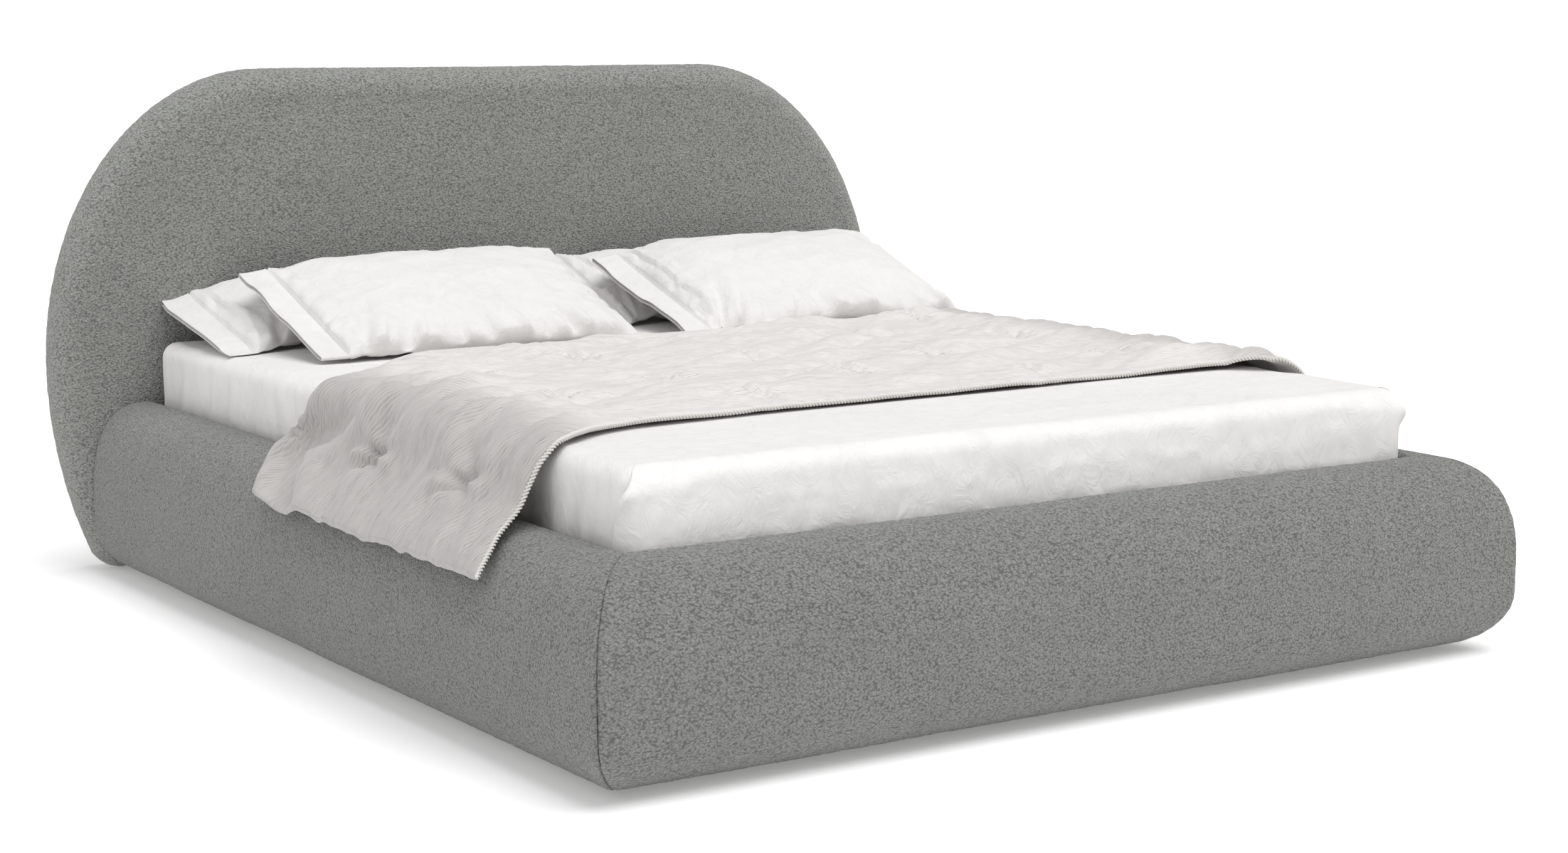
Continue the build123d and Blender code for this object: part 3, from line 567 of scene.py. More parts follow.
# Headboard outline: flat top, elliptical shoulders, sides that draw in towards the floor and rounded bottom
# corners.
HEAD_LOW, HEAD_HIGH = box("headboard_cover")
SHOULDER = (0.530, 0.420)  # a shoulder's centre
SIDE_R = 1.000  # radius of the sides below the shoulders
BOTTOM_R = 0.060
RIM_R = 0.055  # rounding of the front and back edges
BACK_SEAM_IN = 0.062  # the back panel's seam, in from the outline
HEAD_STEP = 0.0062


def head_side():
    """Right-hand outline from the bottom corner to the flat top: columns x, z and the outward normal."""
    cx, cz = SHOULDER
    middle = HEAD_HIGH[0] - SIDE_R
    low, top = HEAD_LOW[2], HEAD_HIGH[2]
    corner_z = low + BOTTOM_R
    corner_x = middle + math.sqrt((SIDE_R - BOTTOM_R) ** 2 - (cz - corner_z) ** 2)
    lean = math.degrees(math.atan2(corner_z - cz, corner_x - middle))
    line = np.vstack(
        [
            arc((corner_x, corner_z), (BOTTOM_R, BOTTOM_R), -90, lean, 30),
            arc((middle, cz), (SIDE_R, SIDE_R), lean, 0, 60)[1:],
            arc((cx, cz), (HEAD_HIGH[0] - cx, top - cz), 0, 90, 160)[1:],
        ]
    )
    line = resample(line, HEAD_STEP)
    along = np.gradient(line, axis=0)
    outward = np.column_stack([along[:, 1], -along[:, 0]]) / np.linalg.norm(along, axis=1)[:, None]
    outward[0], outward[-1] = (0, -1), (0, 1)
    return np.column_stack([line, outward])


def head_patch(side, inset, cols, y):
    """Flat grid inside the outline, drawn in by inset, and the order of its boundary vertices."""
    edge = side[:, :2] - inset * side[:, 2:]
    share = np.linspace(-1, 1, cols)
    x = edge[:, :1] * share[None, :]
    z = np.repeat(edge[:, 1:], cols, axis=1)
    points = np.stack([x, np.full_like(x, y), z], -1)
    rows = len(side)
    index = np.arange(rows * cols).reshape(rows, cols)
    loop = np.concatenate([index[0], index[1:, -1], index[-1, -2::-1], index[-2:0:-1, 0]])
    flip = side[::-1] * (-1, 1, -1, 1)
    up, down = np.tile((0, 1.0), (cols - 2, 1)), np.tile((0, -1.0), (cols - 2, 1))
    outward = np.vstack([down[:1], down, side[:, 2:], up, flip[:-1, 2:]])
    return points, loop, outward


def ringed(start, outward, profile):
    """Rings of a boundary, moved by each of the profile's steps: outwards in its plane, and backwards."""
    rings = []
    for out, behind in profile:
        step = np.column_stack([outward[:, 0] * out, np.full(len(start), behind), outward[:, 1] * out])
        rings.append(start + step)
    return np.array(rings)


def skirted(name, patch, rings):
    """A piece of a flat patch and the rings that go on from its boundary."""
    grid = patch.reshape(-1, 3)
    skirt = grid_faces(*rings.shape[:2], start=len(grid), wrap=True)
    faces = np.vstack([grid_faces(*patch.shape[:2]), skirt])
    return make_piece(name, np.vstack([grid, rings.reshape(-1, 3)]), faces)


def build_headboard():
    """The headboard's foam and cover as one rounded, padded piece, and its separate back panel."""
    front, back = HEAD_LOW[1], HEAD_HIGH[1]
    side = head_side()
    cols = int(2 * HEAD_HIGH[0] / HEAD_STEP)
    patch, loop, outward = head_patch(side, RIM_R, cols, front)
    start = patch.reshape(-1, 3)[loop]
    profile = [(RIM_R * math.sin(a), RIM_R * (1 - math.cos(a))) for a in np.radians(np.linspace(0, 90, 11))]
    thick = back - front
    band = thick - 2 * RIM_R
    profile += [(RIM_R, RIM_R + band * t) for t in (0.33, 0.67)]
    for a in np.radians(np.linspace(0, 90, 9)):
        profile.append((RIM_R * math.cos(a), thick - RIM_R * (1 - math.sin(a))))
    seam = RIM_R - BACK_SEAM_IN
    profile += [(seam * 0.6, thick), (seam * 0.95, thick - 0.0015), (seam, thick - 0.006)]
    piece = skirted("headboard_upholstery", patch, ringed(start, outward, profile))
    curls(piece)
    finish_piece(piece, HEAD_BOUCLE, "bed_frame", ("headboard_cover", "headboard_foam"))

    wide = side[::3]
    wide = wide if (wide[-1] == side[-1]).all() else np.vstack([wide, side[-1]])
    patch, loop, outward = head_patch(wide, BACK_SEAM_IN, cols // 3, back - 0.0005)
    start = patch.reshape(-1, 3)[loop]
    turned = [(0, 0), (-0.0008, -0.0012), (-0.0012, -0.005)]
    piece = skirted("headboard_back_panel", patch, ringed(start, outward, turned))
    p = points_of(piece)
    push(piece, 0.0006 * noise(p, 0.022, 2) + 0.0008 * noise(p, 0.2, 4))
    finish_piece(piece, HEAD_BOUCLE, "bed_frame", ("headboard_back_cover",))


# ---------------------------------------------------------------- mattress and sheet

SHEET_LOW, SHEET_HIGH = box("bed_sheet")
PLAN_R = 0.034  # the mattress's corners, seen from above
TOP_R = 0.032  # its top edge
UNDER_R = 0.018  # its bottom edge
TURNED_UNDER = 0.150
PLEAT = 0.055  # depth of a foot corner's pleat at its lower end
PAST_CORNER = 0.030  # how far a pleat's folded edge stands past the corner
LEAN = 0.034  # how far that edge leans back towards the corner at its top
DIAMOND = 0.14  # pitch of the quilting under the mattress
QUILT_DEEP = 0.0030  # and its depth,
QUILT_IN = 0.0035  # below the level of the ticking round it
TICKING_IN = 0.003  # how far the ticking stays inside the sheet
# A pleat's layers, from its inner fold outwards: share of its depth, and height off the mattress.
PLEAT_LAYERS = (
    (0.25, 0.0004),
    (0.6, 0.0004),
    (1.0, 0.0006),
    (1.03, 0.0015),
    (1.0, 0.0024),
    (0.5, 0.0026),
    (0.15, 0.0028),
)
# Its folded edge: steps of FOLD_TURN round it, height, and how many millimetres more it opens at the ear.
PLEAT_EDGE = ((-0.4, 0.0030, 2), (-1.0, 0.0036, 6), (-1.1, 0.0048, 11), (-0.6, 0.0060, 13), (0.4, 0.0062, 11))
FOLD_TURN = 0.0022
PANEL_LIFT = 0.0058  # of the foot panel where it lies over the side panels
LIFT_ENDS = (0.070, 0.17)  # distances from a folded edge between which that lift runs out
EAR_OPEN = 0.013  # how far the foot panel opens beside a folded edge
EAR_WIDE = 0.012
EAR_DOWN = 0.048  # the ear's middle, below the sheet's top
EAR_TALL = 0.022
LEAN_DEPTHS = (0.02, 0.12)  # below the sheet's top, between which the lean runs out
LEAN_REACH = (0.06, 0.17)  # and from the folded edge
DENT = 0.0022  # depth of the side panel's hollow beside a folded edge
DENT_WIDE = 0.014
UPRIGHT_CREASE = 0.0050  # heights of the sheet's creases on its sides,
FOOT_CREASE = 0.0026  # on its foot panel
TOP_CREASE = 0.0015  # and on top


class Loop:
    """A mattress's plan outline as a path: a base rectangle and the outward normal at each distance s."""

    def __init__(self, step):
        low, high = SHEET_LOW[:2] + PLAN_R, SHEET_HIGH[:2] - PLAN_R
        self.low, self.high = low, high
        corners = [(low[0], high[1]), (low[0], low[1]), (high[0], low[1]), (high[0], high[1])]
        angles = [180, 270, 360, 450]
        rows, marks, s = [], [], 0.0
        self.corner_s = []
        for i in range(4):
            a, b = np.array(corners[i]), np.array(corners[(i + 1) % 4])
            n = (math.cos(math.radians(angles[i])), math.sin(math.radians(angles[i])))
            length = np.linalg.norm(b - a)
            for t in np.linspace(0, 1, max(2, round(length / step) + 1)):
                rows.append((s + t * length, *(a + t * (b - a)), *n))
                marks.append(s + t * length)
            s += length
            turn = math.radians(90) * PLAN_R
            self.corner_s.append(s + turn / 2)
            for t in np.linspace(0, 1, 15)[1:-1]:
                angle = math.radians(angles[i] + 90 * t)
                rows.append((s + t * turn, *b, math.cos(angle), math.sin(angle)))
                marks.append(s + t * turn)
            s += turn
        self.length = s
        first = np.array(rows[0])
        first[0] = s
        self.table = np.vstack([rows, first])
        self.marks = np.array(marks)

    def at(self, s, grow, out=0.0):
        """Plan points at distances s, on the outline that stands grow outside the base rectangle, moved
        out."""
        columns = [np.interp(np.mod(s, self.length), self.table[:, 0], c) for c in self.table.T[1:]]
        base, n = np.column_stack(columns[:2]), np.column_stack(columns[2:])
        n = n / np.linalg.norm(n, axis=1)[:, None]
        if grow < 0:
            return np.clip(base, self.low - grow, self.high + grow)
        return base + n * (grow + np.reshape(out, (-1, 1)))

    def grid(self, z):
        """Flat grid over the base rectangle at height z, with a line to each mark on its sides."""
        marks = self.table[:-1]
        xs = np.unique(np.round(marks[np.abs(marks[:, 4] + 1) < 1e-9][:, 1], 6))
        ys = np.unique(np.round(marks[np.abs(marks[:, 3] + 1) < 1e-9][:, 2], 6))
        gx, gy = np.meshgrid(xs, ys)
        return np.stack([gx, gy, np.full_like(gx, z)], -1)


def pleat_path(loop, depth, crown, ear):
    """Distances along the loop and lifts off the mattress for one ring, with a pleat at each foot corner.
    The foot panel lies over the side panels, and its folded edges stand just past the corners. depth is the
    pleat's at this ring, and crown and ear are this ring's shares of the lift and of the ear's opening."""
    left, right = loop.corner_s[0] - PAST_CORNER, loop.corner_s[1] + PAST_CORNER
    s, out = [], []
    fold = [(depth * d, o * (depth > 0)) for d, o in PLEAT_LAYERS]
    for d, o, opening in PLEAT_EDGE:
        fold.append((FOLD_TURN * d * (1 + 1.5 * ear), (o + 0.001 * opening * ear) * crown))
    for mark in loop.marks:
        after_left, after_right = mark - left, mark - right
        lift = PANEL_LIFT * crown
        if after_left > 0 and after_right < 0:
            near = min(after_left, -after_right)
            opened = EAR_OPEN * ear * crown * math.exp(-near / EAR_WIDE)
            out.append(lift * float(1 - ramp(near, *LIFT_ENDS)) + opened)
        else:
            out.append(0.0)
        if -DENT_WIDE < after_left < 0 or 0 < after_right < DENT_WIDE:
            out[-1] = -DENT * min(1.0, crown)
        s.append(mark)
    s, out = np.array(s), np.array(out)
    i = np.searchsorted(s, left)
    j = np.searchsorted(s, right)
    fold_s, fold_out = np.array([f[0] for f in fold]), np.array([f[1] for f in fold])
    s = np.concatenate([s[:i], left + fold_s, s[i:j], right - fold_s[::-1], s[j:]])
    out = np.concatenate([out[:i], fold_out, out[i:j], fold_out[::-1], out[j:]])
    return s, out


def bedding_profile(step, under):
    """Rings of a mattress's side, from the top's inner edge to the underside, as (distance from the base,
    height)."""
    top, low = SHEET_HIGH[2], SHEET_LOW[2]
    rings = [(0.0, top), (PLAN_R - TOP_R, top)]
    for a in np.radians(np.linspace(0, 90, 9)[1:]):
        rings.append((PLAN_R - TOP_R * (1 - math.sin(a)), top - TOP_R * (1 - math.cos(a))))
    rises = np.arange(top - TOP_R - step, low + UNDER_R, -step)
    rings += [(PLAN_R, z) for z in rises]
    for a in np.radians(np.linspace(0, 90, 5)):
        rings.append((PLAN_R - UNDER_R * (1 - math.cos(a)), low + UNDER_R * (1 - math.sin(a))))
    rings += [(d, low) for d in np.linspace(PLAN_R - UNDER_R, PLAN_R - under, 8)[1:]]
    return rings


def build_sheet():
    """The flat sheet: over the mattress, pleated at the foot corners and turned under all round."""
    step = 0.0085
    loop = Loop(step)
    top, low = SHEET_HIGH[2], SHEET_LOW[2]
    rings, cloth = [], []
    down = 0.0
    last = None
    for grow, z in bedding_profile(step * 0.85, TURNED_UNDER):
        down += 0 if last is None else math.hypot(grow - last[0], z - last[1])
        last = (grow, z)
        depth = PLEAT * float(ramp(top - TOP_R * 0.9 - z, 0, 0.12))
        crown = float(ramp(top - TOP_R * 0.35 - z, 0, 0.03))
        ear = math.exp(-(((top - z - EAR_DOWN) / EAR_TALL) ** 2))
        s, out = pleat_path(loop, depth, crown, ear)
        back = LEAN * float(1 - ramp(top - z, *LEAN_DEPTHS))
        for corner, way in ((loop.corner_s[0] - PAST_CORNER, 1), (loop.corner_s[1] + PAST_CORNER, -1)):
            s = s + way * back * (1 - ramp(np.abs(s - corner), *LEAN_REACH))
        plan = loop.at(s, grow, out)
        rings.append(np.column_stack([plan, np.full(len(plan), z)]))
        cloth.append(np.column_stack([s, np.full(len(s), down)]))
    rings, cloth = np.array(rings), np.array(cloth)
    grid = loop.grid(top)
    count = len(grid) * len(grid[0])
    points = np.vstack([grid.reshape(-1, 3), rings.reshape(-1, 3)])
    faces = np.vstack([grid_faces(*grid.shape[:2]), grid_faces(*rings.shape[:2], start=count, wrap=True)])
    cloth = np.vstack([grid[..., :2].reshape(-1, 2), cloth.reshape(-1, 2)])
    piece = make_piece("fitted_bed_sheet", points, faces, cloth)
    wrinkle_sheet(piece)
    finish_piece(piece, SHEET_COTTON, "mattress", ("bed_sheet",))


def wrinkle_sheet(piece):
    """Creases of a sheet that is pulled tight by hand: upright ones on the sides, crumples at the foot."""
    p = points_of(piece)
    top, low = SHEET_HIGH[2], SHEET_LOW[2]
    below = top - p[:, 2]
    side = ramp(below, 0.004, 0.05) * ramp(p[:, 2] - low, -0.001, 0.02)
    left_right = side * (np.abs(p[:, 0]) > SHEET_HIGH[0] - 0.06)
    foot = side * (p[:, 1] < SHEET_LOW[1] + 0.06)
    slanted = p.copy()
    slanted[:, 1] = p[:, 1] + 0.25 * p[:, 2] * np.sign(noise(p, 0.9, 31))
    upright = noise(slanted, (1, 0.030, 0.16), 11) * 0.6 + ridged(slanted, (1, 0.052, 0.3), 12) * 0.4
    crumple = noise(p, (0.05, 1, 0.035), 13) * 0.5 + ridged(p, (0.11, 1, 0.06), 14) * 0.35
    crumple += noise(p, (0.018, 1, 0.02), 15) * 0.25
    flat_top = 1 - ramp(below, 0.0, 0.01)
    calm = noise(p, (0.16, 0.08, 1), 16) * 0.6 + ridged(p, (0.3, 0.12, 1), 17) * 0.35
    layered = 1 - 0.8 * ramp(np.abs(p[:, 0]), SHEET_HIGH[0] - PLEAT - 0.05, SHEET_HIGH[0] - PLEAT - 0.02)
    near_foot = 1 - 0.8 * ramp(-p[:, 1], -SHEET_LOW[1] - 0.12, -SHEET_LOW[1] - 0.05)
    amount = left_right * near_foot * UPRIGHT_CREASE * upright + foot * layered * FOOT_CREASE * crumple
    amount += flat_top * TOP_CREASE * calm
    push(piece, amount)


def build_mattress():
    """The mattress under its sheet, in a ticking with a quilted underside."""
    step = 0.02
    loop = Loop(step)
    rings = []
    for grow, z in bedding_profile(step, PLAN_R):
        plan = loop.at(loop.marks, grow - TICKING_IN if grow >= TICKING_IN else grow)
        rings.append(np.column_stack([plan, np.full(len(plan), z)]))
    rings = np.array(rings)
    top, low = SHEET_HIGH[2], SHEET_LOW[2]
    upper, under = loop.grid(top), loop.grid(low)
    size = upper.shape[:2]
    count = size[0] * size[1]
    points = np.vstack([upper.reshape(-1, 3), under.reshape(-1, 3), rings.reshape(-1, 3)])
    faces = [grid_faces(*size), grid_faces(*size, start=count)[:, ::-1]]
    faces = np.vstack([*faces, grid_faces(*rings.shape[:2], start=2 * count, wrap=True)])
    piece = make_piece("mattress_under_sheet", points, faces)
    p = points_of(piece)
    one_way = np.sin(math.pi * (p[:, 0] + p[:, 1]) / DIAMOND)
    diamonds = np.abs(one_way * np.sin(math.pi * (p[:, 0] - p[:, 1]) / DIAMOND))
    quilt = (p[:, 2] < low + 0.001) * (QUILT_DEEP * np.sqrt(diamonds) - QUILT_IN)
    push(piece, quilt - TICKING_IN)
    finish_piece(piece, TICKING, "mattress", ("mattress_core", "mattress_ticking"))


# ---------------------------------------------------------------- pillows

HEM = 0.060  # the case's open end, beyond the stuffing
HEM_GAP = 0.009  # over the hem's two layers
POCKET = 0.028  # how far the opening is modelled inwards
PILLOW_STEP = 0.0075
BOWED = 0.045  # how far the long seams bow in between their corners, as a share of the depth
END_BOWED = 0.018  # how far the closed end bows in between its corners
PRESSURE = 4.0  # of the stuffing, while its case settles
SETTLE_FRAMES = 20
SETTLE_MOST = 0.007  # the furthest that a point of a case moves meanwhile
TUCKED = 0.016  # the stuffing is this much smaller than its case on every side
SLACK = 0.72  # and this share as thick as its own pillow shape
GATHER = 0.0190  # heights of a case's gathers along its long seams,
UPPER_GATHER = 0.22  # and the upper seam's share of them,
CORNER_PULL = 0.0055  # of the pulls from its ends
FACE_FOLD = 0.0032  # and of the soft folds over its face
SEAM_WAVE = 0.0060  # how far the long seams wave
HEM_WAVE = 0.0060  # and the hem
ROOM_OVER = 0.0015  # between the sheet's top and what lies on it
SPREAD_FROM = 0.012  # height over that, from which a pillow's underside spreads out flat
# Each pillow: the middle of its stuffing, its tilt in degrees, its width, depth and thickness, how far the
# hem droops, and by what share of the pillow's depth the hem flares.
PILLOWS = {
    "back_left": ((-0.335, 0.848, 0.553), 22, (0.770, 0.300, 0.092), 0.066, 0.42),
    "back_right": ((0.502, 0.848, 0.556), 22, (0.752, 0.300, 0.092), 0.020, 0.30),
    "front_left": ((-0.296, 0.638, 0.566), 20.5, (0.650, 0.440, 0.118), 0.020, 0.0),
    "front_right": ((0.510, 0.636, 0.566), 20.5, (0.650, 0.440, 0.118), 0.032, 0.0),
}


def spread(low, high, step, ends):
    """Even stations between two values, with closer ones near both."""
    inner = np.linspace(low + ends[-1] + step, high - ends[-1] - step, int((high - low) / step))
    ends = np.array(ends)
    return np.concatenate([low + ends, inner, high - ends[::-1]])


def pillow_shape(size, hem):
    """Local places of a closed pillow: x across, y up its slope and z through it. Rings run round it, from
    the case's open end, or from the near seam where hem is 0, to the far seam."""
    width, depth, thick = size
    half = width / 2
    near = (0.0, 0.002, 0.005, 0.010, 0.016, 0.024)
    body = spread(-half, half, PILLOW_STEP, near)
    stations, gaps = list(body), [HEM_GAP / 2 * float(1 - ramp(a, -half, -half + 0.03)) for a in body]
    if hem:
        gaps[0] = 0.0012
        edge = -half - hem
        opening = [(edge + POCKET, 0.0), (edge + POCKET, 0.0012), (edge + 0.004, 0.0030)]
        opening += [(edge + 0.0008, 0.0034), (edge, 0.0039), (edge + 0.0006, HEM_GAP / 2)]
        flap = np.arange(edge + PILLOW_STEP, -half - 0.006, PILLOW_STEP)
        opening += [(a, HEM_GAP / 2) for a in flap] + [(-half - 0.003, HEM_GAP / 2)]
        stations = [a for a, _ in opening] + stations
        gaps = [g for _, g in opening] + gaps
    else:
        gaps = [0.0] * len(gaps)
    a, gap = np.array(stations)[:, None], np.array(gaps)[:, None]
    v = spread(-1, 1, PILLOW_STEP / (depth / 2), [2 * n / depth for n in near])
    v = np.concatenate([v, v[-2:0:-1]])
    side = np.ones(len(v))
    side[(len(v) // 2 + 1) :] = -1
    u = np.clip(a / half, -1, 1)
    reach = depth / 2 * (1 - BOWED * (1 - u**2) ** 1.5)
    fat = np.clip(1 - np.abs(u) ** 2.9, 0, 1) ** 0.55 * np.clip(1 - np.abs(v) ** 2.5, 0, 1) ** 0.55
    lifted = thick / 2 * fat + gap * np.clip((1 - np.abs(v)) * depth / 0.004, 0, 1)
    x = a - END_BOWED * (1 - v**2) * np.clip(u, 0, 1) ** 6
    y = reach * v
    z = lifted * side
    p = np.stack(np.broadcast_arrays(x, y, z), -1)
    return p, np.broadcast_to(fat, z.shape), np.broadcast_to(side, z.shape)


def crease(shape, size, seed):
    """Gathers along the long seams, pulls from the ends and soft folds over the face."""
    p, fat, side = shape
    half, deep = size[0] / 2, size[1] / 2
    flat = p.reshape(-1, 3)
    x, y = flat[:, 0], flat[:, 1]
    seam = deep - np.abs(y)
    leaning = flat.copy()
    leaning[:, 0] = x + 0.35 * seam * np.sign(x + 0.2 * half)
    gathers = -ridged(leaning, (0.052, 0.30, 0.5), seed) * 0.6
    gathers -= ridged(leaning, (0.027, 0.16, 0.5), seed + 1) * 0.35
    near_seam = ramp(seam, 0.0, 0.012) * np.exp(-seam / 0.06)
    lower = np.where(y < 0, 1.0, UPPER_GATHER)
    end = half - np.abs(x)
    ending = ramp(end, 0.0, 0.012) * np.exp(-np.clip(end, 0, None) / 0.05)
    pulls = ridged(flat, (0.2, 0.032, 0.5), seed + 2)
    swung = np.column_stack([x + 0.8 * y, y - 0.4 * x, flat[:, 2]])
    folds = ridged(swung, (0.24, 0.07, 0.5), seed + 3) * 0.5
    folds += noise(swung, (0.13, 0.045, 0.5), seed + 4) * 0.5
    stuffed = fat.reshape(-1)
    rise = GATHER * gathers * near_seam * lower + CORNER_PULL * pulls * ending + FACE_FOLD * folds * stuffed
    made = flat.copy()
    made[:, 2] += rise * side.reshape(-1) * ramp(stuffed, 0.0, 0.25)
    along = np.column_stack([x, 0 * x, 0 * x])
    wave = SEAM_WAVE * noise(along, 0.045, seed + 5) * ramp(0.03 - seam, 0, 0.03)
    made[:, 2] += wave * lower
    hem = ramp(-x, half - 0.01, half + 0.05)
    made[:, 2] += hem * HEM_WAVE * noise(np.column_stack([0.4 * x, y, 0 * x]), 0.085, seed + 6)
    return made.reshape(p.shape)


def laid(p, size, where):
    """Local places turned to where the pillow lies, its hem drooping, and nothing below the sheet."""
    middle, tilt, _, droop, flare = where
    half, deep = size[0] / 2, size[1] / 2
    x, y, z = p.reshape(-1, 3).T
    out = ramp(-x, 0.6 * half, half + HEM)
    y = y * (1 + flare * ramp(-x, half - 0.16, half + HEM))
    tilt = math.radians(tilt)
    along = np.column_stack([0 * y, np.full_like(y, math.cos(tilt)), np.full_like(y, math.sin(tilt))])
    through = np.column_stack([0 * y, np.full_like(y, -math.sin(tilt)), np.full_like(y, math.cos(tilt))])
    made = np.array(middle) + y[:, None] * along + z[:, None] * through
    made[:, 0] += x
    made[:, 2] -= droop * out * (0.55 + 0.45 * np.clip(y / deep, -1, 1))
    floor = SHEET_HIGH[2] + ROOM_OVER
    low = np.clip(floor + SPREAD_FROM - made[:, 2], 0, None)
    made[:, 2] = np.where(low > 0, floor + SPREAD_FROM * np.exp(-low / SPREAD_FROM), made[:, 2])
    return made


def settle(piece, loose, gathered, pressure, frames, most):
    """Lets the cloth find its own creases under the stuffing's pressure. Only loose vertices move, and none
    further than most; the gathered ones draw together, as a sewn seam does."""
    start = points_of(piece)
    for name, weights in (("pinned", 1 - loose), ("gathered", gathered)):
        group = piece.vertex_groups.new(name=name)
        for value in np.unique(np.round(weights, 1)):
            if value > 0:
                group.add(np.flatnonzero(np.round(weights, 1) == value).tolist(), float(value), "REPLACE")
    modifier = piece.modifiers.new("cloth", "CLOTH")
    cloth = modifier.settings
    cloth.quality = 5
    cloth.mass = 0.15
    cloth.tension_stiffness = cloth.compression_stiffness = 25
    cloth.shear_stiffness = 8
    cloth.bending_stiffness = 0.15
    cloth.use_pressure = True
    cloth.uniform_pressure_force = pressure
    cloth.effector_weights.gravity = 0
    cloth.vertex_group_mass = "pinned"
    cloth.vertex_group_shrink = "gathered"
    cloth.shrink_max = 0.12
    modifier.point_cache.frame_end = frames
    scene = bpy.context.scene
    for number in range(1, frames + 1):
        scene.frame_set(number)
    settled = piece.evaluated_get(bpy.context.evaluated_depsgraph_get())
    after = points_of(settled)
    piece.modifiers.clear()
    piece.vertex_groups.clear()
    scene.frame_set(1)
    move = after - start
    far = np.linalg.norm(move, axis=1)
    place(piece, start + move * np.minimum(1, most / np.maximum(far, 1e-9))[:, None])


def build_pillows():
    """Each pillow in its case: the case with its open, hemmed end, and the stuffed pillow inside it."""
    for number, (name, where) in enumerate(PILLOWS.items()):
        size = where[2]
        shape = pillow_shape(size, HEM)
        local = crease(shape, size, 40 + 10 * number)
        made = laid(local, size, where).reshape(local.shape)
        piece = make_piece(name + "_case", made, grid_faces(*made.shape[:2], wrap=True), shape[0][..., :2])
        flat = np.empty(3 * len(piece.data.vertices))
        piece.data.attributes["cloth"].data.foreach_get("vector", flat)
        x, y = flat.reshape(-1, 3)[:, 0], flat.reshape(-1, 3)[:, 1]
        half, deep = size[0] / 2, size[1] / 2
        edge = np.minimum(deep * (1 - BOWED) - np.abs(y), half - 0.01 - x)
        gathered = 1 - ramp(edge, 0.0, 0.030)
        settle(piece, ramp(x, -half + 0.004, -half + 0.035), gathered, PRESSURE, SETTLE_FRAMES, SETTLE_MOST)
        finish_piece(piece, PILLOW_COTTON, name + "_pillow", (name + "_pillowcase",))

        inner_size = tuple(v - 2 * TUCKED for v in size)
        local = pillow_shape(inner_size, 0)[0]
        local[..., 2] *= SLACK
        made = laid(local, size, where).reshape(local.shape)[::2, ::2]
        piece = make_piece(name + "_stuffing", made, grid_faces(*made.shape[:2], wrap=True))
        finish_piece(piece, TICKING, name + "_pillow", (name + "_pillow",))


# ---------------------------------------------------------------- coverlet

QUILT_T = 0.012
QUILT_STEP = 0.0078
QUILT_TOP = SHEET_HIGH[2] + 0.016  # its mid-thickness, on the mattress
DRAPE_FROM = 0.45  # this far from the bed's middle, the coverlet's path starts to follow DRAPE
# The coverlet's path over the mattress's left edge and down over the roll: x, and z from its level on the
# mattress. Its right end is a mirror of it.
DRAPE = np.array(
    [
        (-0.700, 0.002),
        (-0.775, 0.001),
        (-0.812, -0.014),
        (-0.834, -0.052),
        (-0.848, -0.098),
        (-0.880, -0.126),
        (-0.930, -0.164),
        (-0.957, -0.196),
    ]
)
# How far along the coverlet, across the bed, and where its foot edge and its head edge lie there.
EDGES = np.array(
    [
        (-1.050, -0.806, 0.080),
        (-0.950, -0.752, 0.165),
        (-0.880, -0.752, 0.130),
        (-0.800, -0.765, 0.100),
        (-0.736, -0.722, 0.135),
        (-0.670, -0.668, 0.215),
        (-0.600, -0.640, 0.310),
        (-0.500, -0.628, 0.405),
        (-0.350, -0.620, 0.430),
        (0.320, -0.605, 0.440),
        (0.690, -0.610, 0.430),
        (0.790, -0.680, 0.420),
        (0.930, -0.700, 0.380),
        (1.050, -0.720, 0.330),
    ]
)
# Valleys of the left drape: each a depth, a width, and its points as (along the coverlet, y).
VALLEY_HEAD = ((-0.700, -0.160), (-0.798, -0.068), (-0.857, -0.030), (-0.894, 0.055))
VALLEY_HEAD += ((-0.956, 0.098), (-1.002, 0.040), (-1.050, -0.030))
VALLEYS = (
    (0.023, 0.036, VALLEY_HEAD),
    (0.015, 0.030, ((-0.730, -0.190), (-0.800, -0.205), (-0.900, -0.227))),
    (0.007, 0.016, ((-0.900, -0.227), (-0.945, -0.185), (-1.050, -0.190))),
    (0.014, 0.030, ((-0.790, -0.500), (-0.830, -0.520), (-0.890, -0.558))),
    (0.007, 0.016, ((-0.890, -0.558), (-0.950, -0.500), (-1.050, -0.520))),
    (0.005, 0.024, ((-0.720, -0.380), (-0.850, -0.400), (-0.960, -0.370), (-1.050, -0.380))),
    (0.005, 0.022, ((-0.740, -0.610), (-0.850, -0.660), (-0.960, -0.640), (-1.050, -0.680))),
)
FIRST_TUFT = (-0.900, -0.227)
TUFT_PITCH = (0.300, 0.331)  # between tufts, across and along
LONG_FOLD = 0.0085  # heights of the coverlet's long folds,
LONG_LESS = 0.0030  # what they lose where it hangs,
SHORT_FOLD = 0.0022  # of its short folds,
SWELL = 0.0070  # of its broad swells
HANG_FOLD = 0.0050  # and of the upright folds where it hangs
TUFT_DEEP = 0.0120
TUFT_R = 0.028
TUFT_RAY = 0.0090  # height of the creases that run out from a tuft
ENDS_ROUND = 0.011  # how far from its edges the padding thins out
DEEPEST = 0.010  # that a fold may sink on the mattress,
DEEPER = 0.009  # and how much deeper where it hangs
ON_MATTRESS = 0.74  # this far across from its middle, it has the sheet right under it
EDGE_FLUTTER = 0.004
EDGE_DOWN = 0.007  # how far its edges settle down on to the mattress
CORD_R = 0.0024  # one of the edging's two strands
CORD_LAY = 0.013  # along the cord, for one turn of a strand
CORD_STEP = 0.0022
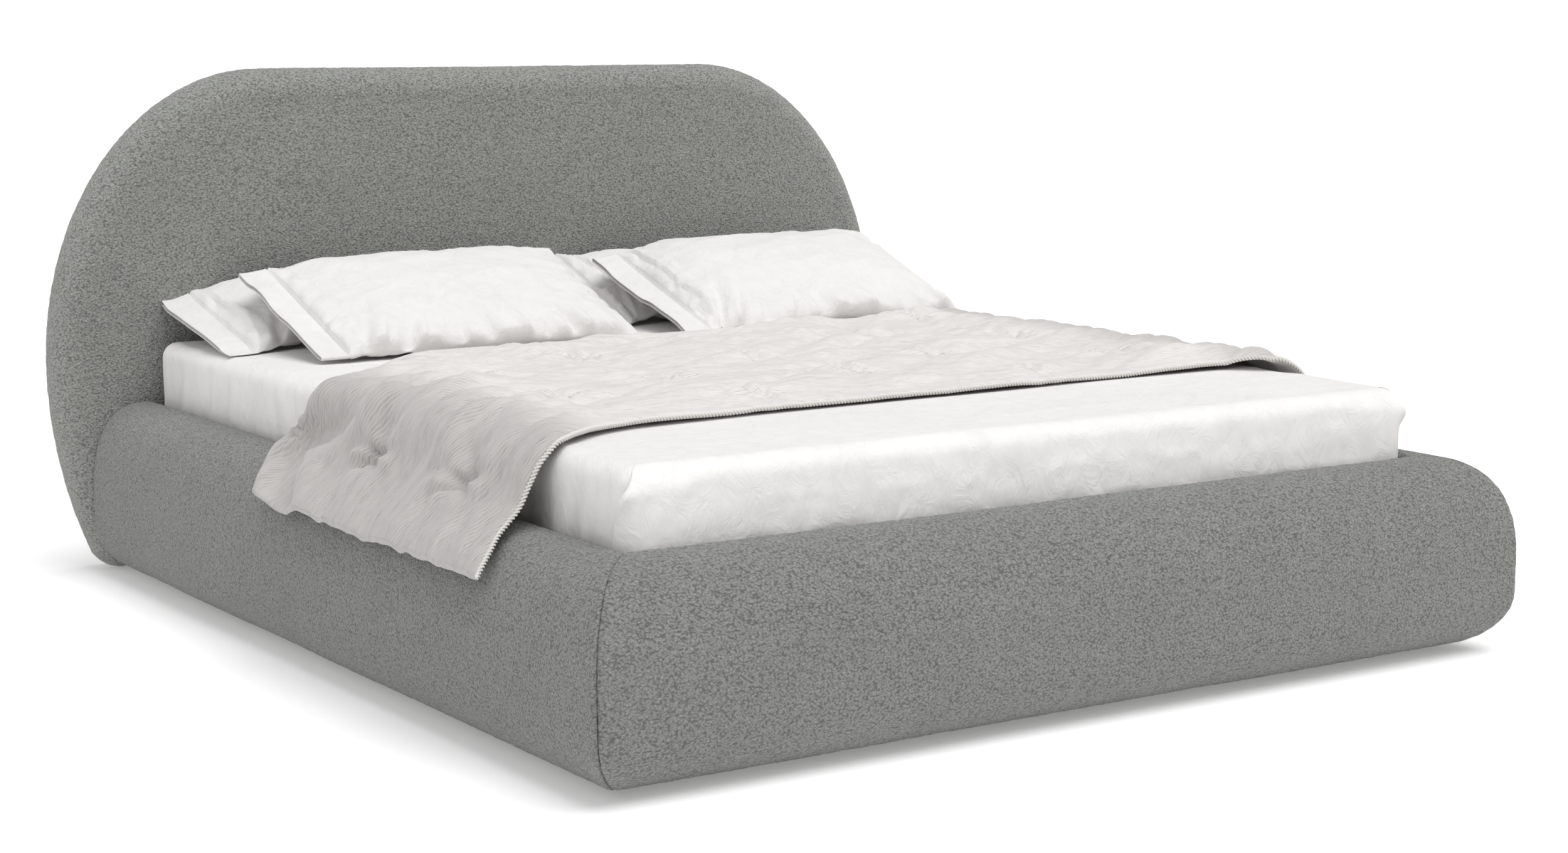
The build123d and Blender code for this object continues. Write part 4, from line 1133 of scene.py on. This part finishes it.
CORD_OUT = 0.0015  # how far the cord stands past the foot edge


def from_line(points, line):
    """Distance of each point from a line of straight stretches."""
    best = np.full(len(points), np.inf)
    for a, b in zip(np.array(line[:-1]), np.array(line[1:])):
        t = np.clip(((points - a) @ (b - a)) / ((b - a) @ (b - a)), 0, 1)
        best = np.minimum(best, np.linalg.norm(points - a - t[:, None] * (b - a), axis=1))
    return best


def drape_at(q):
    """Place (x, z) and upward normal of the coverlet's mid-thickness at signed distances across it."""
    line = resample(np.vstack([[(-DRAPE_FROM, 0.0)], DRAPE]), 0.01)
    line[1:-1] = soften(line, 6)[1:-1]
    length = np.concatenate([[0], np.cumsum(np.linalg.norm(np.diff(line, axis=0), axis=1))])
    side = np.sign(q)
    s = np.abs(q) - DRAPE_FROM
    x = np.where(s < 0, np.abs(q), -np.interp(s, length, line[:, 0]))
    z = np.interp(np.clip(s, 0, None), length, line[:, 1]) + QUILT_TOP
    step = 0.004
    ahead = np.interp(np.clip(s + step, 0, length[-1]), length, line[:, 1])
    behind = np.interp(np.clip(s - step, 0, length[-1]), length, line[:, 1])
    fall = np.clip((ahead - behind) / (2 * step), -0.97, 0)
    normal = np.column_stack([side * -fall, np.sqrt(1 - fall**2)])
    return x * side, z, normal


def quilt_relief(q, y):
    """How far the padding stands out: the left drape's valleys, and the folds, swells and tufts all over."""
    at = np.column_stack([q, y])
    flat = np.column_stack([q, y, 0 * q])
    hanging = ramp(np.abs(q), 0.72, 0.84)
    rise = 0 * q
    for depth, width, line in VALLEYS:
        away = from_line(at, line)
        rise = rise - depth * np.exp(-((away / width) ** 2))
        rise = rise + 0.75 * depth * np.exp(-((away / width - 2.1) ** 2))
    swung = np.column_stack([q + 0.55 * y, y - 0.55 * q, 0 * q])
    long = -ridged(swung, (0.42, 0.085, 1), 61) * 0.6 + noise(swung, (0.30, 0.038, 1), 62) * 0.4
    near_end = ramp(EDGES[-1, 0] - np.abs(q), 0, 0.04)
    rise = rise + (LONG_FOLD - LONG_LESS * hanging) * long * near_end
    short = -ridged(swung, (0.15, 0.034, 1), 66) * 0.7 - ridged(flat, (0.05, 0.11, 1), 67) * 0.3
    rise = rise + SHORT_FOLD * short * near_end
    rise = rise + SWELL * noise(flat, (0.20, 0.12, 1), 63)
    rise = rise + SWELL * ramp(q, 0.5, 0.7) * ramp(0.9 - q, 0, 0.15)
    upright = noise(flat, (0.16, 0.026, 1), 64)
    rise = rise + HANG_FOLD * upright * hanging
    for i in range(-1, 8):
        for j in range(-2, 4):
            tq = FIRST_TUFT[0] + i * TUFT_PITCH[0]
            ty = FIRST_TUFT[1] + (j + 0.5 * (i % 2)) * TUFT_PITCH[1]
            dq, dy = q - tq, y - ty
            away = np.hypot(dq, dy)
            if away.min() > 0.01 or abs(tq) > 1.0:
                continue
            strong = 1.0 if tq < -0.85 else 0.95
            rays = np.cos(7 * np.arctan2(dy, dq) + 2.1 * i + j) * np.exp(-away / 0.07)
            rays = rays * ramp(away, 0.004, 0.02)
            rise = rise - strong * TUFT_DEEP * np.exp(-((away / TUFT_R) ** 2)) + strong * TUFT_RAY * rays
    return rise


def build_coverlet():
    """The quilted coverlet: two faces over its filling, closed by a thin seam, with a twisted cord along the
    foot edge."""
    q = spread(EDGES[0, 0], EDGES[-1, 0], QUILT_STEP, (0.0, 0.0012, 0.003, 0.006, 0.010))
    t = spread(0, 1, QUILT_STEP, (0.0, 0.0012, 0.003, 0.006, 0.010))
    foot = soften(np.interp(q, EDGES[:, 0], EDGES[:, 1]), 3, 2)
    head = soften(np.interp(q, EDGES[:, 0], EDGES[:, 2]), 3, 2)
    x, z, normal = drape_at(q)
    gq = np.broadcast_to(q, (len(t), len(q)))
    gy = foot + t[:, None] * (head - foot)
    ends = np.minimum(np.minimum(gy - foot, head - gy), np.minimum(gq - q[0], q[-1] - gq))
    round_in = 1 - np.clip(ends / ENDS_ROUND, 0, 1)
    body = QUILT_T / 2 * np.sqrt(np.clip(1 - round_in**2, 0, 1))
    relief = quilt_relief(gq.ravel(), gy.ravel()).reshape(gq.shape)
    relief = np.maximum(relief, -DEEPEST - DEEPER * ramp(np.abs(gq), 0.80, 0.88))
    flutter = noise(np.stack([gq, gy, 0 * gq], -1).reshape(-1, 3), 0.06, 65).reshape(gq.shape)
    lift = EDGE_FLUTTER * np.exp(-ends / 0.02) * flutter
    lying = (1 - ramp(ends, 0.012, 0.085)) * (1 - ramp(np.abs(gq), 0.66, 0.78))
    layers = []
    for face in (1, -1):
        inner = ramp(ends, 0.0, 0.03)
        plump = relief * (1.0 if face > 0 else 0.55) * inner + relief * 0.5 * (1 - inner)
        plump = np.where(ends <= 1e-9, relief * 0.5, plump) + lift
        away = face * body + plump * (1 - 0.75 * lying) - EDGE_DOWN * lying
        rest = np.where(np.abs(gq) < ON_MATTRESS, SHEET_HIGH[2] + ROOM_OVER - QUILT_TOP, -1.0)
        away = np.maximum(away, rest + (face > 0) * 2 * body * 0.6)
        layers.append(np.stack([x + away * normal[:, 0], gy, z + away * normal[:, 1]], -1))
    made = np.concatenate([layers[0], layers[1][:, -2:0:-1]], axis=1)
    cloth = np.stack([gq, gy], -1)
    cloth = np.concatenate([cloth, cloth[:, -2:0:-1]], axis=1)
    made[:, 0] = layers[0][:, 0]
    made[:, len(q) - 1] = layers[0][:, -1]
    made[0, len(q) :] = layers[0][0, -2:0:-1]
    made[-1, len(q) :] = layers[0][-1, -2:0:-1]
    piece = make_piece("quilted_coverlet", made, grid_faces(*made.shape[:2], wrap=True), cloth)
    close_ends(piece)
    finish_piece(piece, LINEN, "coverlet", ("coverlet",))

    edge = resample(layers[0][0], CORD_STEP)
    edge[1:-1] = soften(edge, 4)[1:-1]
    edge[:, 1] -= CORD_OUT
    along = np.gradient(edge, axis=0)
    along /= np.linalg.norm(along, axis=1)[:, None]
    first = np.cross(along, (0, 1, 0))
    first /= np.linalg.norm(first, axis=1)[:, None]
    second = np.cross(along, first)
    run = np.arange(len(edge)) * CORD_STEP
    points, faces = [], []
    ring = np.radians(np.arange(0, 360, 45))
    for strand in range(2):
        turn = 2 * math.pi * run / CORD_LAY + math.pi * strand
        middle = edge + CORD_R * (np.cos(turn)[:, None] * first + np.sin(turn)[:, None] * second)
        size = CORD_R * np.ones(len(edge))
        size[[0, -1]] = 0.0002
        tube = [middle + size[:, None] * (math.cos(a) * first + math.sin(a) * second) for a in ring]
        faces.append(grid_faces(len(edge), len(ring), start=strand * len(edge) * len(ring), wrap=True))
        points.append(np.stack(tube, 1).reshape(-1, 3))
    cord = make_piece("coverlet_foot_cord", np.vstack(points), np.vstack(faces), weld=0.0)
    close_ends(cord)
    finish_piece(cord, CORD_YARN, "coverlet", ("coverlet_edging",))


def close_ends(piece):
    """Fills the holes that are left in a mesh."""
    bm = bmesh.new()
    bm.from_mesh(piece.data)
    open_edges = [edge for edge in bm.edges if edge.is_boundary]
    if open_edges:
        bmesh.ops.holes_fill(bm, edges=open_edges, sides=0)
    bmesh.ops.recalc_face_normals(bm, faces=bm.faces)
    bm.to_mesh(piece.data)
    bm.free()


# ---------------------------------------------------------------- CAD pieces that stay


def dress_frame():
    """Procedural finishes for the carried-over CAD pieces."""
    ply = plywood("plywood", (0.52, 0.37, 0.22), "Y")
    rail_timber = wood("timber_along", (0.56, 0.4, 0.235), (12, 1, 12))
    cross_timber = wood("timber_across", (0.56, 0.4, 0.235), (1, 12, 12))
    slat = wood("beech_slat", (0.62, 0.42, 0.25), (1, 14, 14), 7, 0.45)
    board = hardboard()
    black = metal("black_steel", (0.022, 0.022, 0.024), 0.42, 0.25, 0.0)
    zinc = metal("zinc_steel", (0.55, 0.56, 0.56), 0.34, 0.12, 1.0)
    glide = plastic("glide_plastic", (0.02, 0.02, 0.021), 0.5)
    rubber = plastic("slat_cap_rubber", (0.018, 0.018, 0.019), 0.7)
    finishes = {
        "headboard_panel": ply,
        "headboard_battens": cross_timber,
        "headboard_back_board": board,
        "headboard_mount_blocks": cross_timber,
        "footboard_board": cross_timber,
        "head_corner_brackets": black,
        "foot_corner_brackets": black,
        "corner_bolts": zinc,
        "corner_nuts": zinc,
        "ledger_screws": zinc,
        "hanger_screws": zinc,
        "centre_beam": black,
        "beam_hangers": black,
        "centre_legs": black,
        "centre_leg_feet": glide,
        "base_glides": glide,
        "headboard_glides": glide,
        "left_ledger": black,
        "right_ledger": black,
        "left_rail_board": rail_timber,
        "right_rail_board": rail_timber,
    }
    for name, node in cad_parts.items():
        material = finishes.get(name)
        if name.endswith("_formers"):
            material = ply
        if name.endswith("_skin"):
            material = board
        if name.endswith("_slats"):
            material = slat
        if name.endswith("_base_frame"):
            material = rail_timber
        if name.endswith("_caps"):
            material = rubber
        if material is None:
            continue
        node.data.materials.clear()
        node.data.materials.append(material)


# ---------------------------------------------------------------- stage

CAMERA_AT = (-2.791, -4.634, 1.146)
CAMERA_YAW = 34.94  # degrees from +Y towards +X
CAMERA_DOWN = 8.34
FOCAL = 64.7
SHIFT_X = -0.0948
SKY_LIGHT = 0.43  # strength of the white surroundings as a light
SKY_SEEN = 1.1  # and where the camera sees them
FLOOR_WHITE = 0.93
FLOOR_GLOW = 0.21
FLOOR_REACH = 40
# Name, strength, tilt from the zenith, turn and apparent size of each soft light, angles in degrees.
SUNS = (("overhead", 2.2, 19, 27, 54), ("front", 0.15, 58, 25, 50), ("side", 0.48, 60, -62, 50))


def build_stage():
    """White floor and background, soft overhead light, and the camera."""
    scene = bpy.context.scene
    scene.view_settings.view_transform = "Standard"
    scene.view_settings.look = "None"
    world = bpy.data.worlds.new("studio")
    scene.world = world
    world.use_nodes = True
    tree = world.node_tree
    sky = tree.nodes["Background"]
    sky.inputs[0].default_value = (1, 1, 1, 1)
    sky.inputs[1].default_value = SKY_LIGHT
    seen = tree.nodes.new("ShaderNodeBackground")
    seen.inputs[0].default_value = (1, 1, 1, 1)
    seen.inputs[1].default_value = SKY_SEEN
    path = tree.nodes.new("ShaderNodeLightPath")
    mix = tree.nodes.new("ShaderNodeMixShader")
    tree.links.new(path.outputs["Is Camera Ray"], mix.inputs[0])
    tree.links.new(sky.outputs[0], mix.inputs[1])
    tree.links.new(seen.outputs[0], mix.inputs[2])
    tree.links.new(mix.outputs[0], tree.nodes["World Output"].inputs[0])

    for name, strength, tilt, turn, spread in SUNS:
        light = bpy.data.lights.new(name, "SUN")
        light.energy = strength
        light.angle = math.radians(spread)
        lamp = bpy.data.objects.new(name, light)
        lamp.rotation_euler = (math.radians(tilt), 0, math.radians(turn))
        scene.collection.objects.link(lamp)

    corners = [(x * FLOOR_REACH, y * FLOOR_REACH, 0) for x, y in ((-1, -1), (1, -1), (1, 1), (-1, 1))]
    floor = make_piece("floor", corners, [(0, 1, 2, 3)])
    ground = Shader(
        "floor_white",
        Roughness=1.0,
        Base_Color=(FLOOR_WHITE, FLOOR_WHITE, FLOOR_WHITE, 1),
        Emission_Color=(1, 1, 1, 1),
        Emission_Strength=FLOOR_GLOW,
    )
    ground.shader.inputs["Specular IOR Level"].default_value = 0
    floor.data.materials.append(ground.material)

    camera = bpy.data.cameras.new("camera")
    camera.lens = FOCAL
    camera.sensor_width = 36
    camera.shift_x = SHIFT_X
    camera.clip_end = 200
    eye = bpy.data.objects.new("camera", camera)
    eye.location = CAMERA_AT
    eye.rotation_euler = (math.radians(90 - CAMERA_DOWN), 0, math.radians(-CAMERA_YAW))
    scene.collection.objects.link(eye)
    scene.camera = eye


build_stage()
dress_frame()
build_rolls()
build_headboard()
build_mattress()
build_sheet()
build_pillows()
build_coverlet()
